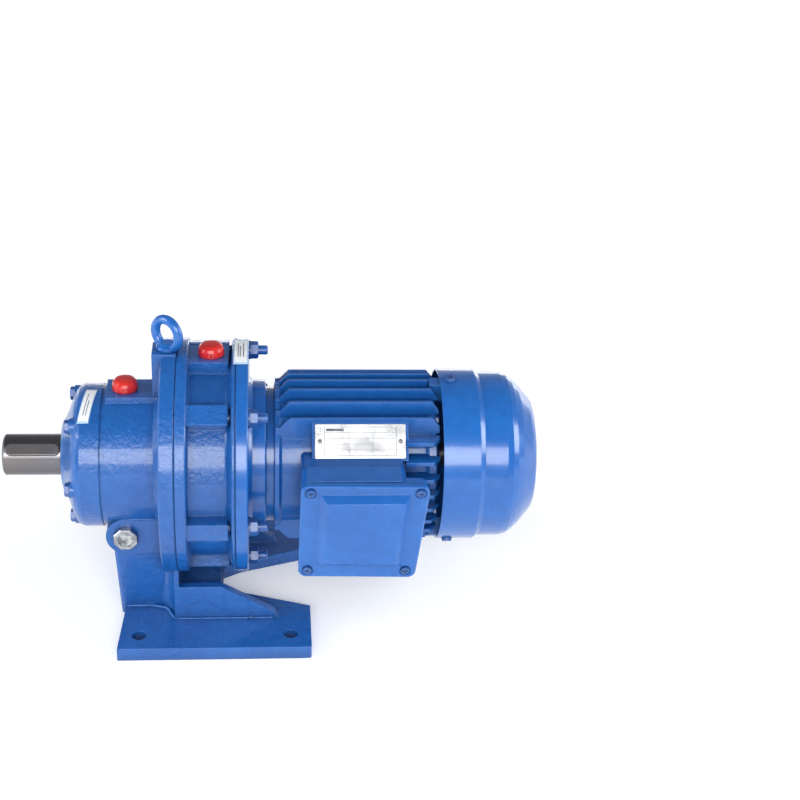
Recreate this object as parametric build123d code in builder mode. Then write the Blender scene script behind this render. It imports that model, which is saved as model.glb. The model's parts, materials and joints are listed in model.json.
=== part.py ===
from build123d import *
from math import sin, cos, pi, atan2, radians, degrees, sqrt, hypot
import os

os.makedirs("parts", exist_ok=True)

# ---------------------------------------------------------------------------
# Foot-mounted cycloidal gearmotor.  Millimetres, +Z up.
# Origin: centre of the four foot holes on the mounting plane.
# The shaft line runs along X at height H; the output shaft points to -X.
# ---------------------------------------------------------------------------
H = 140.0                 # centre height of the shaft line

# output end
X_TIP = -178.0            # free end of the output shaft
X_NOSE = -128.0           # nose of the output end cover
SHAFT_R = 17.5            # output shaft, diameter 35
KEY_W, KEY_H, KEY_L = 10.0, 8.0, 45.0
X_COVER = -93.0           # joint between end cover and base
BARREL_R = 60.0
FLANGE_R = 100.0          # case flanges, diameter 200
X_RING0, X_RING1 = -43.5, -31.0       # base flange ring
GASKET = 0.5
X_PH0, X_PH1 = -30.5, 17.7            # ring gear housing
X_AD0, X_AD1 = 18.2, 28.5             # adapter flange
TIE_R = 90.0              # tie stud circle radius
TIE_A0 = -11.0            # first tie stud, degrees from the front (-Y) side
COVER_BOLT_R = 52.0
COVER_A0 = -4.0
X_BOLT_SEAT = -118.6      # seats of the cover bolts

X_BREATHER = -2.5         # breather on top of the ring gear housing
X_EYE = -38.4             # lifting eye on top of the base flange ring
Z_LUG = H + 101.0
EYE_R, EYE_T, EYE_TURN = 12.65, 4.05, 40.0
Z_RING = Z_LUG + 13.5

# cycloid stage
PIN_PCR = 71.0            # ring pin circle radius
N_PINS = 18
PIN_R = 4.0
ROLLER_R = 6.5
ECC = 1.5                 # eccentricity
DISC_T = 12.0
X_DISC_A, X_DISC_B = -21.0, -5.0
GAP = 0.3                 # clearance of the disc profile
OUT_PIN_N = 10
OUT_PIN_PCR = 46.0
OUT_PIN_R = 6.0
OUT_ROLLER_R = 8.5

# motor
FIN_R = 72.0
FRAME_R = 59.0
X_FR0, X_FR1 = 49.7, 178.0
STATOR_R = 52.0
RIM_R = 73.6              # fan cover, first stage
COVER2_R = 71.0
X_FC0, X_FC_STEP, X_FC_CONE, X_FC1 = 189.0, 222.0, 246.0, 271.0
SHEET = 1.6

# foot
FOOT_X0, FOOT_X1 = -81.5, 81.5
FOOT_Y = 104.0
FOOT_T = 12.0
HOLE_DX, HOLE_DY, HOLE_R = 128.0, 171.0, 6.0

AXLE = Axis((0, 0, H), (1, 0, 0))
# profile plane: local x is X, local y is height above the shaft line
PROF = Plane(origin=(0, 0, H), x_dir=(1, 0, 0), z_dir=(0, -1, 0))


def sec(x):
    """Section plane across the shaft line: local x is +Y, local y is +Z."""
    return Plane(origin=(x, 0, H), x_dir=(0, 1, 0), z_dir=(1, 0, 0))


def at(radius, angle):
    """Section-plane point, angle counted from the front (-Y) towards the top."""
    a = radians(angle)
    return (-radius * cos(a), radius * sin(a))


def front(y):
    """Plane facing the front at the given Y: local x is X, local y is Z."""
    return Plane(origin=(0, y, 0), x_dir=(1, 0, 0), z_dir=(0, -1, 0))


def ring(x0, x1, r_out, r_in):
    """Annulus between two stations of the shaft line, added to the open part."""
    with BuildSketch(sec(x0)) as annulus:
        Circle(r_out)
        if r_in:
            Circle(r_in, mode=Mode.SUBTRACT)
    extrude(annulus.sketch, amount=x1 - x0)


def spots(radius, count, a0):
    step = 360.0 / count
    return [at(radius, a0 + i * step) for i in range(count)]


def hex_head(x, points, flats, height):
    """Hexagon heads standing on section plane x, towards the sign of height, with turned-down corners."""
    with BuildSketch(sec(x)) as hexagons:
        with Locations(*points):
            RegularPolygon(flats / 2, 6, major_radius=False)
    extrude(hexagons.sketch, amount=height)
    r_corner = flats / sqrt(3)
    for px, py in points:
        with BuildSketch(Plane(origin=(x, px, H + py), x_dir=(1, 0, 0), z_dir=(0, -1, 0))) as corner:
            with BuildLine():
                Polyline((height, flats / 2 - 0.3), (height * 1.01, r_corner + 1), (height * 0.72, r_corner + 1), close=True)
            make_face()
        revolve(corner.sketch, axis=Axis((x, px, H + py), (1, 0, 0)), mode=Mode.SUBTRACT)


def finish(part, label):
    part.label = label
    export_step(part, f"parts/{label}.step")
    print(label, len(part.solids()), round(part.volume, 1))


# ===========================================================================
# base housing: barrel, flange ring, pillar, webs and foot
# ===========================================================================
with BuildPart() as base_housing:
    with BuildSketch(PROF):
        with BuildLine():
            Polyline((X_COVER, 0), (X_COVER, BARREL_R), (X_RING0 - 6, BARREL_R + 1),
                     (X_RING0, BARREL_R + 7), (X_RING0, FLANGE_R - 1), (X_RING0 + 1, FLANGE_R),
                     (X_RING1 - 0.6, FLANGE_R), (X_RING1, FLANGE_R - 0.6), (X_RING1, 0), close=True)
        make_face()
    revolve(axis=AXLE)
    # flat pad for the oil fill plug
    with BuildSketch(Plane.XY.offset(H + 50)):
        with Locations((-68, 0)):
            Rectangle(44, 33)
    extrude(amount=13.5)
    # lug for the eye bolt on top of the flange ring
    with BuildSketch(Plane.XY.offset(H + 52)):
        with Locations((-41, 0)):
            Rectangle(20.0, 24)
    extrude(amount=Z_LUG - H - 52)
    # pillar under the barrel, drafted towards the foot
    with BuildSketch(Plane.XY.offset(4)):
        with Locations((-59, 0)):
            RectangleRounded(46, 84, 4)
    with BuildSketch(Plane.XY.offset(H - 52)):
        with Locations((-62.5, 0)):
            RectangleRounded(48, 98, 4)
    loft()
    # sight glass boss and the ledge behind it
    with BuildSketch(front(-50)):
        with BuildLine():
            Polyline((-74.5, 105.5), (-43.5, 105.5), (-43.5, 71.5), (-74.5, 71.5))
            ThreePointArc((-74.5, 71.5), (-91.5, 88.5), (-74.5, 105.5))
        make_face()
    extrude(amount=-24)
    # drain plug boss on the far side of the pillar
    with BuildSketch(front(51)):
        with Locations((-68, 68)):
            Circle(12)
    extrude(amount=16)
    # wall under the flange ring
    with BuildSketch(Plane.XY.offset(4)):
        with Locations((-33, 0)):
            Rectangle(4, 123)
    extrude(amount=68)
    # wide fillets between the pillar and the wall
    for side in (-1, 1):
        with BuildSketch(Plane.XY.offset(6)):
            with BuildLine():
                ThreePointArc((-55, side * 41), (-42, side * 46.5), (-35, side * 61.5))
                Polyline((-35, side * 61.5), (-33, side * 61.5), (-33, side * 41), (-55, side * 41))
            make_face()
        extrude(amount=88)
    # webs from the pillar to the motor end of the foot
    for side in (-1, 1):
        with BuildSketch(front(side * 57.75 - 3.75)):
            with BuildLine():
                Polyline((-34, 6), (53.5, 6), (53.5, 12), (50, 17.5), (5, 44), (-34, 44), close=True)
            make_face()
        extrude(amount=-7.5)
    # foot plate with the open side towards the motor
    with BuildSketch(Plane.XY):
        with BuildLine():
            Polyline((FOOT_X0, -FOOT_Y), (FOOT_X1, -FOOT_Y), (FOOT_X1, -45), (20, -23.5), (5, -14),
                     (5, 14), (20, 23.5), (FOOT_X1, 45), (FOOT_X1, FOOT_Y), (FOOT_X0, FOOT_Y),
                     (FOOT_X0 + 3.5, 41.5), (FOOT_X0 + 3.5, -41.5), close=True)
        make_face()
    extrude(amount=FOOT_T)
    chamfer(base_housing.edges().filter_by(Axis.Z).group_by(Axis.X)[-1].sort_by(Axis.Y)[0], 1.5)
    # cross member between the rails
    with BuildSketch(Plane.XY.offset(6)):
        with Locations((-15, 0)):
            Rectangle(38, 110)
        with Locations((-54, 0)):
            Rectangle(44, 80)
    extrude(amount=20)
    # relief under the foot, leaving a seat along each rail
    with BuildSketch(Plane.XY):
        with Locations((-58, 0)):
            RectangleRounded(34, 66, 5)
    extrude(amount=54, mode=Mode.SUBTRACT)
    with BuildSketch(Plane.XY):
        with Locations((-16, 0)):
            RectangleRounded(32, 66, 5)
    extrude(amount=18, mode=Mode.SUBTRACT)
    # seats for the bearings, the oil space and the register for the ring gear housing
    with BuildSketch(PROF):
        with BuildLine():
            Polyline((X_COVER, 0), (X_COVER, 40.0), (-74, 40.0), (-74, 36), (-62, 36), (-62, 45.0),
                     (-41, 45.0), (-41, 66.4), (X_RING1, 66.4), (X_RING1, 0), close=True)
        make_face()
    revolve(axis=AXLE, mode=Mode.SUBTRACT)
    # tapped holes for the end cover
    with BuildSketch(sec(X_COVER)):
        with Locations(*spots(COVER_BOLT_R, 6, COVER_A0)):
            Circle(3.02)
    extrude(amount=16, mode=Mode.SUBTRACT)
    # tapped holes for the tie studs
    with BuildSketch(sec(X_RING1)):
        with Locations(*spots(TIE_R, 6, TIE_A0)):
            Circle(4.02)
    extrude(amount=-11, mode=Mode.SUBTRACT)
    # oil ports: fill plug, sight glass, drain
    with BuildSketch(Plane.XY.offset(H + 63.5)):
        with Locations((-74.5, 0)):
            Circle(7.02)
    extrude(amount=-20, mode=Mode.SUBTRACT)
    with BuildSketch(Plane.XY.offset(H + 50)):
        with Locations((-68.0, 0)):
            Circle(4.0)
    extrude(amount=-18, mode=Mode.SUBTRACT)
    with BuildSketch(front(-50)):
        with Locations((-74.5, 88.5)):
            Circle(7.52)
    extrude(amount=-12, mode=Mode.SUBTRACT)
    with BuildSketch(front(-39)):
        with Locations((-71, 87.5)):
            Circle(2.5)
    extrude(amount=-39, mode=Mode.SUBTRACT)
    with BuildSketch(Plane.XY.offset(63)):
        with Locations((-70, 0)):
            Circle(3.2)
    extrude(amount=44, mode=Mode.SUBTRACT)
    with BuildSketch(front(51)):
        with Locations((-68, 68)):
            Circle(5.02)
    extrude(amount=14, mode=Mode.SUBTRACT)
    with BuildSketch(front(38)):
        with Locations((-70, 68)):
            Circle(2.5)
    extrude(amount=38, mode=Mode.SUBTRACT)
    # eye bolt hole
    with BuildSketch(Plane.XY.offset(Z_LUG)):
        with Locations((X_EYE, 0)):
            Circle(4.02)
    extrude(amount=-16, mode=Mode.SUBTRACT)
    # foot holes
    with BuildSketch(Plane.XY):
        with GridLocations(HOLE_DX, HOLE_DY, 2, 2):
            Circle(HOLE_R)
    extrude(amount=FOOT_T, mode=Mode.SUBTRACT)
finish(base_housing.part, "base_housing")

# ===========================================================================
# output end cover and its sealing parts
# ===========================================================================
with BuildPart() as output_end_cover:
    with BuildSketch(PROF):
        with BuildLine():
            Polyline((X_COVER - GASKET, 0), (X_COVER - GASKET, BARREL_R + 1.0), (-109.5, BARREL_R + 1.0),
                     (-112.6, BARREL_R - 0.2), (-115.4, BARREL_R - 2.8), (-117.6, BARREL_R - 6.6), (-119.6, 48), (-122.6, 40),
                     (-125.4, 33.5), (X_NOSE, 29.5), (X_NOSE, 0), close=True)
        make_face()
    revolve(axis=AXLE)
    # spot-faced bosses for the bolts
    with BuildSketch(sec(X_BOLT_SEAT)):
        with Locations(*spots(COVER_BOLT_R, 6, COVER_A0)):
            Circle(7.2)
    extrude(amount=17)
    with BuildSketch(PROF):
        with BuildLine():
            Polyline((X_NOSE, 0), (X_NOSE, 28.0), (-119.5, 28.0), (-119.5, 22.5), (-117, 22.5),
                     (-112, 36), (X_COVER - GASKET, 36), (X_COVER - GASKET, 0), close=True)
        make_face()
    revolve(axis=AXLE, mode=Mode.SUBTRACT)
    with BuildSketch(sec(X_BOLT_SEAT)):
        with Locations(*spots(COVER_BOLT_R, 6, COVER_A0)):
            Circle(7.0)
    extrude(amount=-5, mode=Mode.SUBTRACT)
    with BuildSketch(sec(-130)):
        with Locations(*spots(COVER_BOLT_R, 6, COVER_A0)):
            Circle(3.3)
    extrude(amount=40, mode=Mode.SUBTRACT)
finish(output_end_cover.part, "output_end_cover")

with BuildPart() as end_cover_gasket:
    with BuildSketch(sec(X_COVER - GASKET)):
        Circle(BARREL_R)
        Circle(40.5, mode=Mode.SUBTRACT)
        with Locations(*spots(COVER_BOLT_R, 6, COVER_A0)):
            Circle(3.4, mode=Mode.SUBTRACT)
    extrude(amount=GASKET)
finish(end_cover_gasket.part, "end_cover_gasket")

with BuildPart() as end_cover_bolts:
    hex_head(X_BOLT_SEAT, spots(COVER_BOLT_R, 6, COVER_A0), 10.0, -4.2)
    with BuildSketch(sec(X_BOLT_SEAT)):
        with Locations(*spots(COVER_BOLT_R, 6, COVER_A0)):
            Circle(3.0)
    extrude(amount=39.5)
finish(end_cover_bolts.part, "end_cover_bolts")

with BuildPart() as output_oil_seal:
    with BuildSketch(PROF):
        with BuildLine():
            Polyline((-127.5, 27.95), (-119.6, 27.95), (-119.6, 22.8), (-121.2, 22.8), (-121.2, 26),
                     (-125.6, 26), (-124.6, 20.4), (-123.6, 17.56), (-124.6, 17.56), (-126.6, 20.5),
                     (-127.5, 20.5), close=True)
        make_face()
    revolve(axis=AXLE)
finish(output_oil_seal.part, "output_oil_seal")

# ===========================================================================
# output shaft and what turns with it
# ===========================================================================
with BuildPart() as output_shaft:
    with BuildSketch(PROF):
        with BuildLine():
            Polyline((X_TIP, 0), (X_TIP, SHAFT_R - 1.5), (X_TIP + 1.5, SHAFT_R), (-96, SHAFT_R),
                     (-96, 20.0), (-94, 20.0), (-94, 18.9), (-92, 18.9), (-92, 20.0), (-74, 20.0),
                     (-74, 24.0), (-62, 24.0), (-62, 25.0), (-42, 25.0), (-42, 31.0), (-38.6, 31.0),
                     (-38.6, 60.0), (-25, 60.0), (-25, 0), close=True)
        make_face()
    revolve(axis=AXLE)
    # seat of the pilot bearing in the flange
    with BuildSketch(PROF):
        with BuildLine():
            Polyline((-45, 0), (-45, 11), (-37.2, 11), (-37.2, 20.0), (-25, 20.0), (-25, 0), close=True)
        make_face()
    revolve(axis=AXLE, mode=Mode.SUBTRACT)
    with BuildSketch(sec(-25)):
        with PolarLocations(OUT_PIN_PCR, OUT_PIN_N):
            Circle(OUT_PIN_R)
    extrude(amount=-13.0, mode=Mode.SUBTRACT)
    # centre hole, M12, in the free end
    with BuildSketch(sec(X_TIP)):
        Circle(5.1)
    extrude(amount=28, mode=Mode.SUBTRACT)
    with BuildSketch(PROF):
        with BuildLine():
            Polyline((X_TIP, 0), (X_TIP, 6.6), (X_TIP + 1.5, 5.1), (X_TIP + 1.5, 0), close=True)
        make_face()
    revolve(axis=AXLE, mode=Mode.SUBTRACT)
    # keyway, 5 mm deep, on the top of the shaft turned towards the front
    with BuildSketch(Plane(origin=(-152.5, -(SHAFT_R - 5) * cos(radians(42)), H + (SHAFT_R - 5) * sin(radians(42))),
                           x_dir=(1, 0, 0), z_dir=(0, -cos(radians(42)), sin(radians(42))))):
        SlotOverall(KEY_L, KEY_W)
    extrude(amount=8, mode=Mode.SUBTRACT)
finish(output_shaft.part, "output_shaft")

with BuildPart() as output_key:
    with BuildSketch(Plane(origin=(-152.5, -(SHAFT_R - 5) * cos(radians(42)), H + (SHAFT_R - 5) * sin(radians(42))),
                           x_dir=(1, 0, 0), z_dir=(0, -cos(radians(42)), sin(radians(42))))):
        SlotOverall(KEY_L - 0.04, KEY_W - 0.04)
    extrude(amount=KEY_H)
    chamfer(output_key.edges().filter_by(Axis.X), 0.4)
finish(output_key.part, "output_key")

with BuildPart() as shaft_circlip:
    with BuildSketch(sec(-93.9)):
        Circle(22.6)
        Circle(18.95, mode=Mode.SUBTRACT)
        with Locations((0, 20)):
            Rectangle(6, 8, mode=Mode.SUBTRACT)
    extrude(amount=1.75)
finish(shaft_circlip.part, "shaft_circlip")


def bearing_outer(x0, x1, r_in, r_out, pitch, ball):
    """Outer ring of a deep-groove bearing, as a profile revolved in the open part."""
    m, w = (x0 + x1) / 2, pitch + ball * 0.55
    with BuildSketch(PROF) as half:
        with BuildLine():
            Polyline((x0, w), (x0, r_out), (x1, r_out), (x1, w), close=True)
        make_face()
        with Locations((m, pitch)):
            Circle(ball + 0.06, mode=Mode.SUBTRACT)
    revolve(half.sketch, axis=AXLE)


def bearing_inner(x0, x1, r_in, r_out, pitch, ball):
    m, w = (x0 + x1) / 2, pitch - ball * 0.55
    with BuildSketch(PROF) as half:
        with BuildLine():
            Polyline((x0, r_in), (x0, w), (x1, w), (x1, r_in), close=True)
        make_face()
        with Locations((m, pitch)):
            Circle(ball + 0.06, mode=Mode.SUBTRACT)
    revolve(half.sketch, axis=AXLE)


def bearing_balls(x0, x1, pitch, ball, count):
    m = (x0 + x1) / 2
    with Locations(*[(m, pitch * cos(2 * pi * i / count), H + pitch * sin(2 * pi * i / count)) for i in range(count)]):
        Sphere(ball)


# x0, x1, bore radius, outer radius, ball circle radius, ball radius, number of balls
BRG_FRONT = (-92.0, -74.0, 20.0, 40.0, 30.0, 6.0, 9)
BRG_REAR = (-62.0, -42.0, 25.0, 45.0, 35.0, 6.35, 10)
BRG_PILOT = (-37.0, -25.0, 8.5, 20.0, 14.25, 3.4, 8)
BRG_DE = (34.9, 49.9, 12.5, 26.0, 19.25, 3.95, 9)
BRG_NDE = (171.5, 185.5, 10.0, 23.5, 16.75, 3.95, 8)

with BuildPart() as output_bearing_outer_rings:
    bearing_outer(*BRG_FRONT[:6])
    bearing_outer(*BRG_REAR[:6])
finish(output_bearing_outer_rings.part, "output_bearing_outer_rings")

with BuildPart() as output_bearing_inner_rings:
    bearing_inner(*BRG_FRONT[:6])
    bearing_inner(*BRG_REAR[:6])
finish(output_bearing_inner_rings.part, "output_bearing_inner_rings")

with BuildPart() as output_bearing_balls:
    bearing_balls(BRG_FRONT[0], BRG_FRONT[1], BRG_FRONT[4], BRG_FRONT[5], BRG_FRONT[6])
    bearing_balls(BRG_REAR[0], BRG_REAR[1], BRG_REAR[4], BRG_REAR[5], BRG_REAR[6])
finish(output_bearing_balls.part, "output_bearing_balls")

with BuildPart() as output_pins:
    with BuildSketch(sec(-38.0)):
        with PolarLocations(OUT_PIN_PCR, OUT_PIN_N):
            Circle(OUT_PIN_R)
    extrude(amount=45.8)
    chamfer(output_pins.faces().sort_by(Axis.X)[-OUT_PIN_N:].edges(), 0.8)
finish(output_pins.part, "output_pins")

with BuildPart() as output_rollers:
    for x0, x1 in ((-23.6, -7.1), (-6.9, 7.4)):
        with BuildSketch(sec(x0)):
            with PolarLocations(OUT_PIN_PCR, OUT_PIN_N):
                Circle(OUT_ROLLER_R)
                Circle(OUT_PIN_R + 0.05, mode=Mode.SUBTRACT)
        extrude(amount=x1 - x0)
finish(output_rollers.part, "output_rollers")

with BuildPart() as disc_spacer_ring:
    ring(-8.6, -5.4, 60.5, OUT_PIN_PCR + OUT_ROLLER_R + 0.05)
finish(disc_spacer_ring.part, "disc_spacer_ring")

# ===========================================================================
# ring gear housing with its pins and rollers
# ===========================================================================
with BuildPart() as ring_gear_housing:
    with BuildSketch(PROF):
        with BuildLine():
            Polyline((X_PH0, 66.4), (X_PH0, FLANGE_R - 0.6), (X_PH0 + 0.6, FLANGE_R), (-22.4, FLANGE_R),
                     (-21.4, FLANGE_R - 1), (-21.4, 88.4), (-20.0, 87), (9.5, 87), (11.2, 88.0),
                     (14.0, 95.6), (15.0, FLANGE_R - 0.8), (15.8, FLANGE_R), (X_PH1 - 0.6, FLANGE_R),
                     (X_PH1, FLANGE_R - 0.6), (X_PH1, 66.4), close=True)
        make_face()
    revolve(axis=AXLE)
    # ribs round the tie studs
    for a in range(6):
        with BuildSketch(Plane(origin=(-5, 0, H), x_dir=(1, 0, 0),
                               z_dir=(0, -cos(radians(TIE_A0 + 60 * a)), sin(radians(TIE_A0 + 60 * a)))).offset(80)):
            RectangleRounded(34, 17.5, 1)
        extrude(amount=17.6)
    # pad for the breather on top
    with BuildSketch(Plane.XY.offset(H + 80)):
        with Locations((-5, 0)):
            Rectangle(34, 32)
    extrude(amount=16)
    with BuildSketch(PROF):
        with BuildLine():
            Polyline((-22.5, 60), (-22.5, PIN_PCR + ROLLER_R + 0.7), (9.7, PIN_PCR + ROLLER_R + 0.7), (9.7, 60), close=True)
        make_face()
    revolve(axis=AXLE, mode=Mode.SUBTRACT)
    with BuildSketch(sec(X_PH0)):
        with PolarLocations(PIN_PCR, N_PINS):
            Circle(PIN_R + 0.02)
    extrude(amount=X_PH1 - X_PH0, mode=Mode.SUBTRACT)
    with BuildSketch(sec(X_PH0)):
        with Locations(*spots(TIE_R, 6, TIE_A0)):
            Circle(4.5)
    extrude(amount=X_PH1 - X_PH0, mode=Mode.SUBTRACT)
    with BuildSketch(Plane.XY.offset(H + 96)):
        with Locations((X_BREATHER, 0)):
            Circle(7.02)
    extrude(amount=-30, mode=Mode.SUBTRACT)
finish(ring_gear_housing.part, "ring_gear_housing")

with BuildPart() as ring_pins:
    with BuildSketch(sec(X_PH0 + 0.2)):
        with PolarLocations(PIN_PCR, N_PINS):
            Circle(PIN_R)
    extrude(amount=X_PH1 - X_PH0 - 0.4)
finish(ring_pins.part, "ring_pins")

with BuildPart() as ring_rollers:
    for x0 in (X_DISC_A, X_DISC_B):
        with BuildSketch(sec(x0)):
            with PolarLocations(PIN_PCR, N_PINS):
                Circle(ROLLER_R)
                Circle(PIN_R + 0.05, mode=Mode.SUBTRACT)
        extrude(amount=DISC_T)
finish(ring_rollers.part, "ring_rollers")


def flange_gasket(x, r_in):
    with BuildSketch(sec(x)) as sheet:
        Circle(FLANGE_R - 1.2)
        Circle(r_in, mode=Mode.SUBTRACT)
        with Locations(*spots(TIE_R, 6, TIE_A0)):
            Circle(4.6, mode=Mode.SUBTRACT)
    extrude(sheet.sketch, amount=GASKET)


with BuildPart() as base_gasket:
    flange_gasket(X_RING1, 77)
finish(base_gasket.part, "base_gasket")

with BuildPart() as adapter_gasket:
    flange_gasket(X_PH1, 77)
finish(adapter_gasket.part, "adapter_gasket")


# ===========================================================================
# cycloid discs
# ===========================================================================
def cycloid_points(n, gap):
    """Points of the lobed profile, 17 lobes, centred on its own axis."""
    pts = []
    rr = ROLLER_R + gap
    for i in range(n):
        t = 2 * pi * i / n
        psi = atan2(sin((1 - N_PINS) * t), PIN_PCR / (ECC * N_PINS) - cos((1 - N_PINS) * t))
        x = PIN_PCR * cos(t) - rr * cos(t + psi) - ECC * cos(N_PINS * t)
        y = -PIN_PCR * sin(t) + rr * sin(t + psi) + ECC * sin(N_PINS * t)
        pts.append((x, y))
    return pts


def disc_blank(x0, off_y, turn):
    """Lobed disc standing on section x0, its axis off_y from the shaft line, turned by turn degrees."""
    lobes = N_PINS - 1
    base = cycloid_points(lobes * 24, GAP)
    c, s = cos(radians(turn)), sin(radians(turn))
    pts = [(off_y + c * px - s * py, s * px + c * py) for px, py in base]
    with BuildSketch(sec(x0)) as lobed:
        with BuildLine():
            Spline(*pts, periodic=True)
        make_face()
        with Locations((off_y, 0)):
            Circle(24.85, mode=Mode.SUBTRACT)
            with PolarLocations(OUT_PIN_PCR, OUT_PIN_N):
                Circle(OUT_ROLLER_R + ECC + GAP, mode=Mode.SUBTRACT)
    extrude(lobed.sketch, amount=DISC_T)


TURN_A, TURN_B = 0.0, 180.0 / (N_PINS - 1)
with BuildPart() as cycloid_disc_a:
    disc_blank(X_DISC_A, ECC, TURN_A)
finish(cycloid_disc_a.part, "cycloid_disc_a")

with BuildPart() as cycloid_disc_b:
    disc_blank(X_DISC_B, -ECC, TURN_B)
finish(cycloid_disc_b.part, "cycloid_disc_b")

with BuildPart() as eccentric_sleeve:
    for x0, off in ((X_DISC_A, ECC), (X_DISC_B, -ECC)):
        with BuildSketch(sec(x0)):
            with Locations((off, 0)):
                Circle(17.45)
        extrude(amount=DISC_T)
    ring(X_DISC_A + DISC_T, X_DISC_B, 20.5, 0)
    with BuildSketch(sec(X_DISC_A - 2)):
        Circle(11.02)
    extrude(amount=40, mode=Mode.SUBTRACT)
    # keyway of the sleeve
    with BuildSketch(sec(X_DISC_A - 2)):
        with Locations((0, 12.0)):
            Rectangle(6.04, 6.0)
    extrude(amount=40, mode=Mode.SUBTRACT)
finish(eccentric_sleeve.part, "eccentric_sleeve")

with BuildPart() as eccentric_rollers:
    for x0, off in ((X_DISC_A, ECC), (X_DISC_B, -ECC)):
        with BuildSketch(sec(x0 + 0.5)):
            with Locations(*[(off + 21.1 * cos(2 * pi * i / 15), 21.1 * sin(2 * pi * i / 15)) for i in range(15)]):
                Circle(3.45)
        extrude(amount=DISC_T - 1)
finish(eccentric_rollers.part, "eccentric_rollers")

with BuildPart() as pilot_bearing_outer:
    bearing_outer(*BRG_PILOT[:6])
finish(pilot_bearing_outer.part, "pilot_bearing_outer")

with BuildPart() as pilot_bearing_balls:
    bearing_balls(BRG_PILOT[0], BRG_PILOT[1], BRG_PILOT[4], BRG_PILOT[5], BRG_PILOT[6])
finish(pilot_bearing_balls.part, "pilot_bearing_balls")

with BuildPart() as pilot_bearing_inner:
    bearing_inner(*BRG_PILOT[:6])
finish(pilot_bearing_inner.part, "pilot_bearing_inner")

# ===========================================================================
# motor adapter, tie studs
# ===========================================================================
MOTOR_BOLT_R = 46.0
MOTOR_BOLT_A0 = 45.0

with BuildPart() as motor_adapter:
    with BuildSketch(PROF):
        with BuildLine():
            Polyline((X_AD0, 20), (X_AD0, FLANGE_R - 0.6), (X_AD0 + 0.6, FLANGE_R), (X_AD1 - 1.2, FLANGE_R),
                     (X_AD1, FLANGE_R - 1.2), (X_AD1, 67), (X_AD1 + 3, 64.4), (42.0, 64), (42.6, 63.4), (42.6, 58.6),
                     (43.2, 58), (X_FR0, 58), (X_FR0, 36), (56, 36), (56, 30), (50.2, 30), (50.2, 26), (34.7, 26),
                     (34.7, 23.5), (26, 23.5), (26, 20), close=True)
        make_face()
    revolve(axis=AXLE)
    with BuildSketch(sec(X_AD0)):
        with Locations(*spots(TIE_R, 6, TIE_A0)):
            Circle(4.5)
        with Locations(*spots(MOTOR_BOLT_R, 4, MOTOR_BOLT_A0)):
            Circle(3.2)
    extrude(amount=35, mode=Mode.SUBTRACT)
    with BuildSketch(sec(X_AD0)):
        with Locations(*spots(MOTOR_BOLT_R, 4, MOTOR_BOLT_A0)):
            Circle(5.4)
    extrude(amount=8, mode=Mode.SUBTRACT)
finish(motor_adapter.part, "motor_adapter")

with BuildPart() as tie_studs:
    with BuildSketch(sec(X_RING1 - 10.6)):
        with Locations(*spots(TIE_R, 6, TIE_A0)):
            Circle(4.0)
    extrude(amount=44.5 - (X_RING1 - 10.6))
    chamfer(tie_studs.faces().sort_by(Axis.X)[-6:].edges(), 0.8)
finish(tie_studs.part, "tie_studs")

with BuildPart() as tie_washers:
    with BuildSketch(sec(X_AD1)):
        for p in spots(TIE_R, 6, TIE_A0):
            with Locations(p):
                Circle(8.0)
                Circle(4.2, mode=Mode.SUBTRACT)
    extrude(amount=1.6)
finish(tie_washers.part, "tie_washers")

with BuildPart() as tie_nuts:
    hex_head(X_AD1 + 1.6, spots(TIE_R, 6, TIE_A0), 13.0, 6.5)
    with BuildSketch(sec(X_AD1)):
        with Locations(*spots(TIE_R, 6, TIE_A0)):
            Circle(4.02)
    extrude(amount=12, mode=Mode.SUBTRACT)
finish(tie_nuts.part, "tie_nuts")

with BuildPart() as motor_flange_bolts:
    with BuildSketch(sec(20.2)):
        with Locations(*spots(MOTOR_BOLT_R, 4, MOTOR_BOLT_A0)):
            Circle(5.0)
    extrude(amount=6.0)
    with BuildSketch(sec(26.2)):
        with Locations(*spots(MOTOR_BOLT_R, 4, MOTOR_BOLT_A0)):
            Circle(3.0)
    extrude(amount=31)
    with BuildSketch(sec(20.2)):
        with Locations(*spots(MOTOR_BOLT_R, 4, MOTOR_BOLT_A0)):
            RegularPolygon(2.5, 6, major_radius=False)
    extrude(amount=3.2, mode=Mode.SUBTRACT)
finish(motor_flange_bolts.part, "motor_flange_bolts")

# ===========================================================================
# fittings on the case
# ===========================================================================
with BuildPart() as eye_bolt:
    # collar and threaded shank
    with BuildSketch(Plane(origin=(X_EYE, 0, Z_LUG), x_dir=(1, 0, 0), z_dir=(0, -1, 0))):
        with BuildLine():
            Polyline((0, -15), (3.4, -15), (4, -14.4), (4, 0), (9, 0), (9.3, 0.6), (9.3, 2.6), (8.4, 3.6), (5.2, 6.0),
                     (0, 6.0), close=True)
        make_face()
    revolve(axis=Axis((X_EYE, 0, Z_LUG), (0, 0, 1)))
    # ring, its lowest part sunk into the collar
    with BuildSketch(Plane(origin=(X_EYE, 0, Z_RING), x_dir=(0, 0, 1), z_dir=(cos(radians(-EYE_TURN)), sin(radians(-EYE_TURN)), 0))):
        with Locations((EYE_R, 0)):
            Circle(EYE_T)
    revolve(axis=Axis((X_EYE, 0, Z_RING), (sin(radians(EYE_TURN)), cos(radians(EYE_TURN)), 0)))
    with BuildSketch(Plane.XY.offset(Z_LUG)):
        with Locations((X_EYE, 0)):
            Circle(25)
            Circle(4.0, mode=Mode.SUBTRACT)
    extrude(amount=-6, mode=Mode.SUBTRACT)
finish(eye_bolt.part, "eye_bolt")


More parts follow.
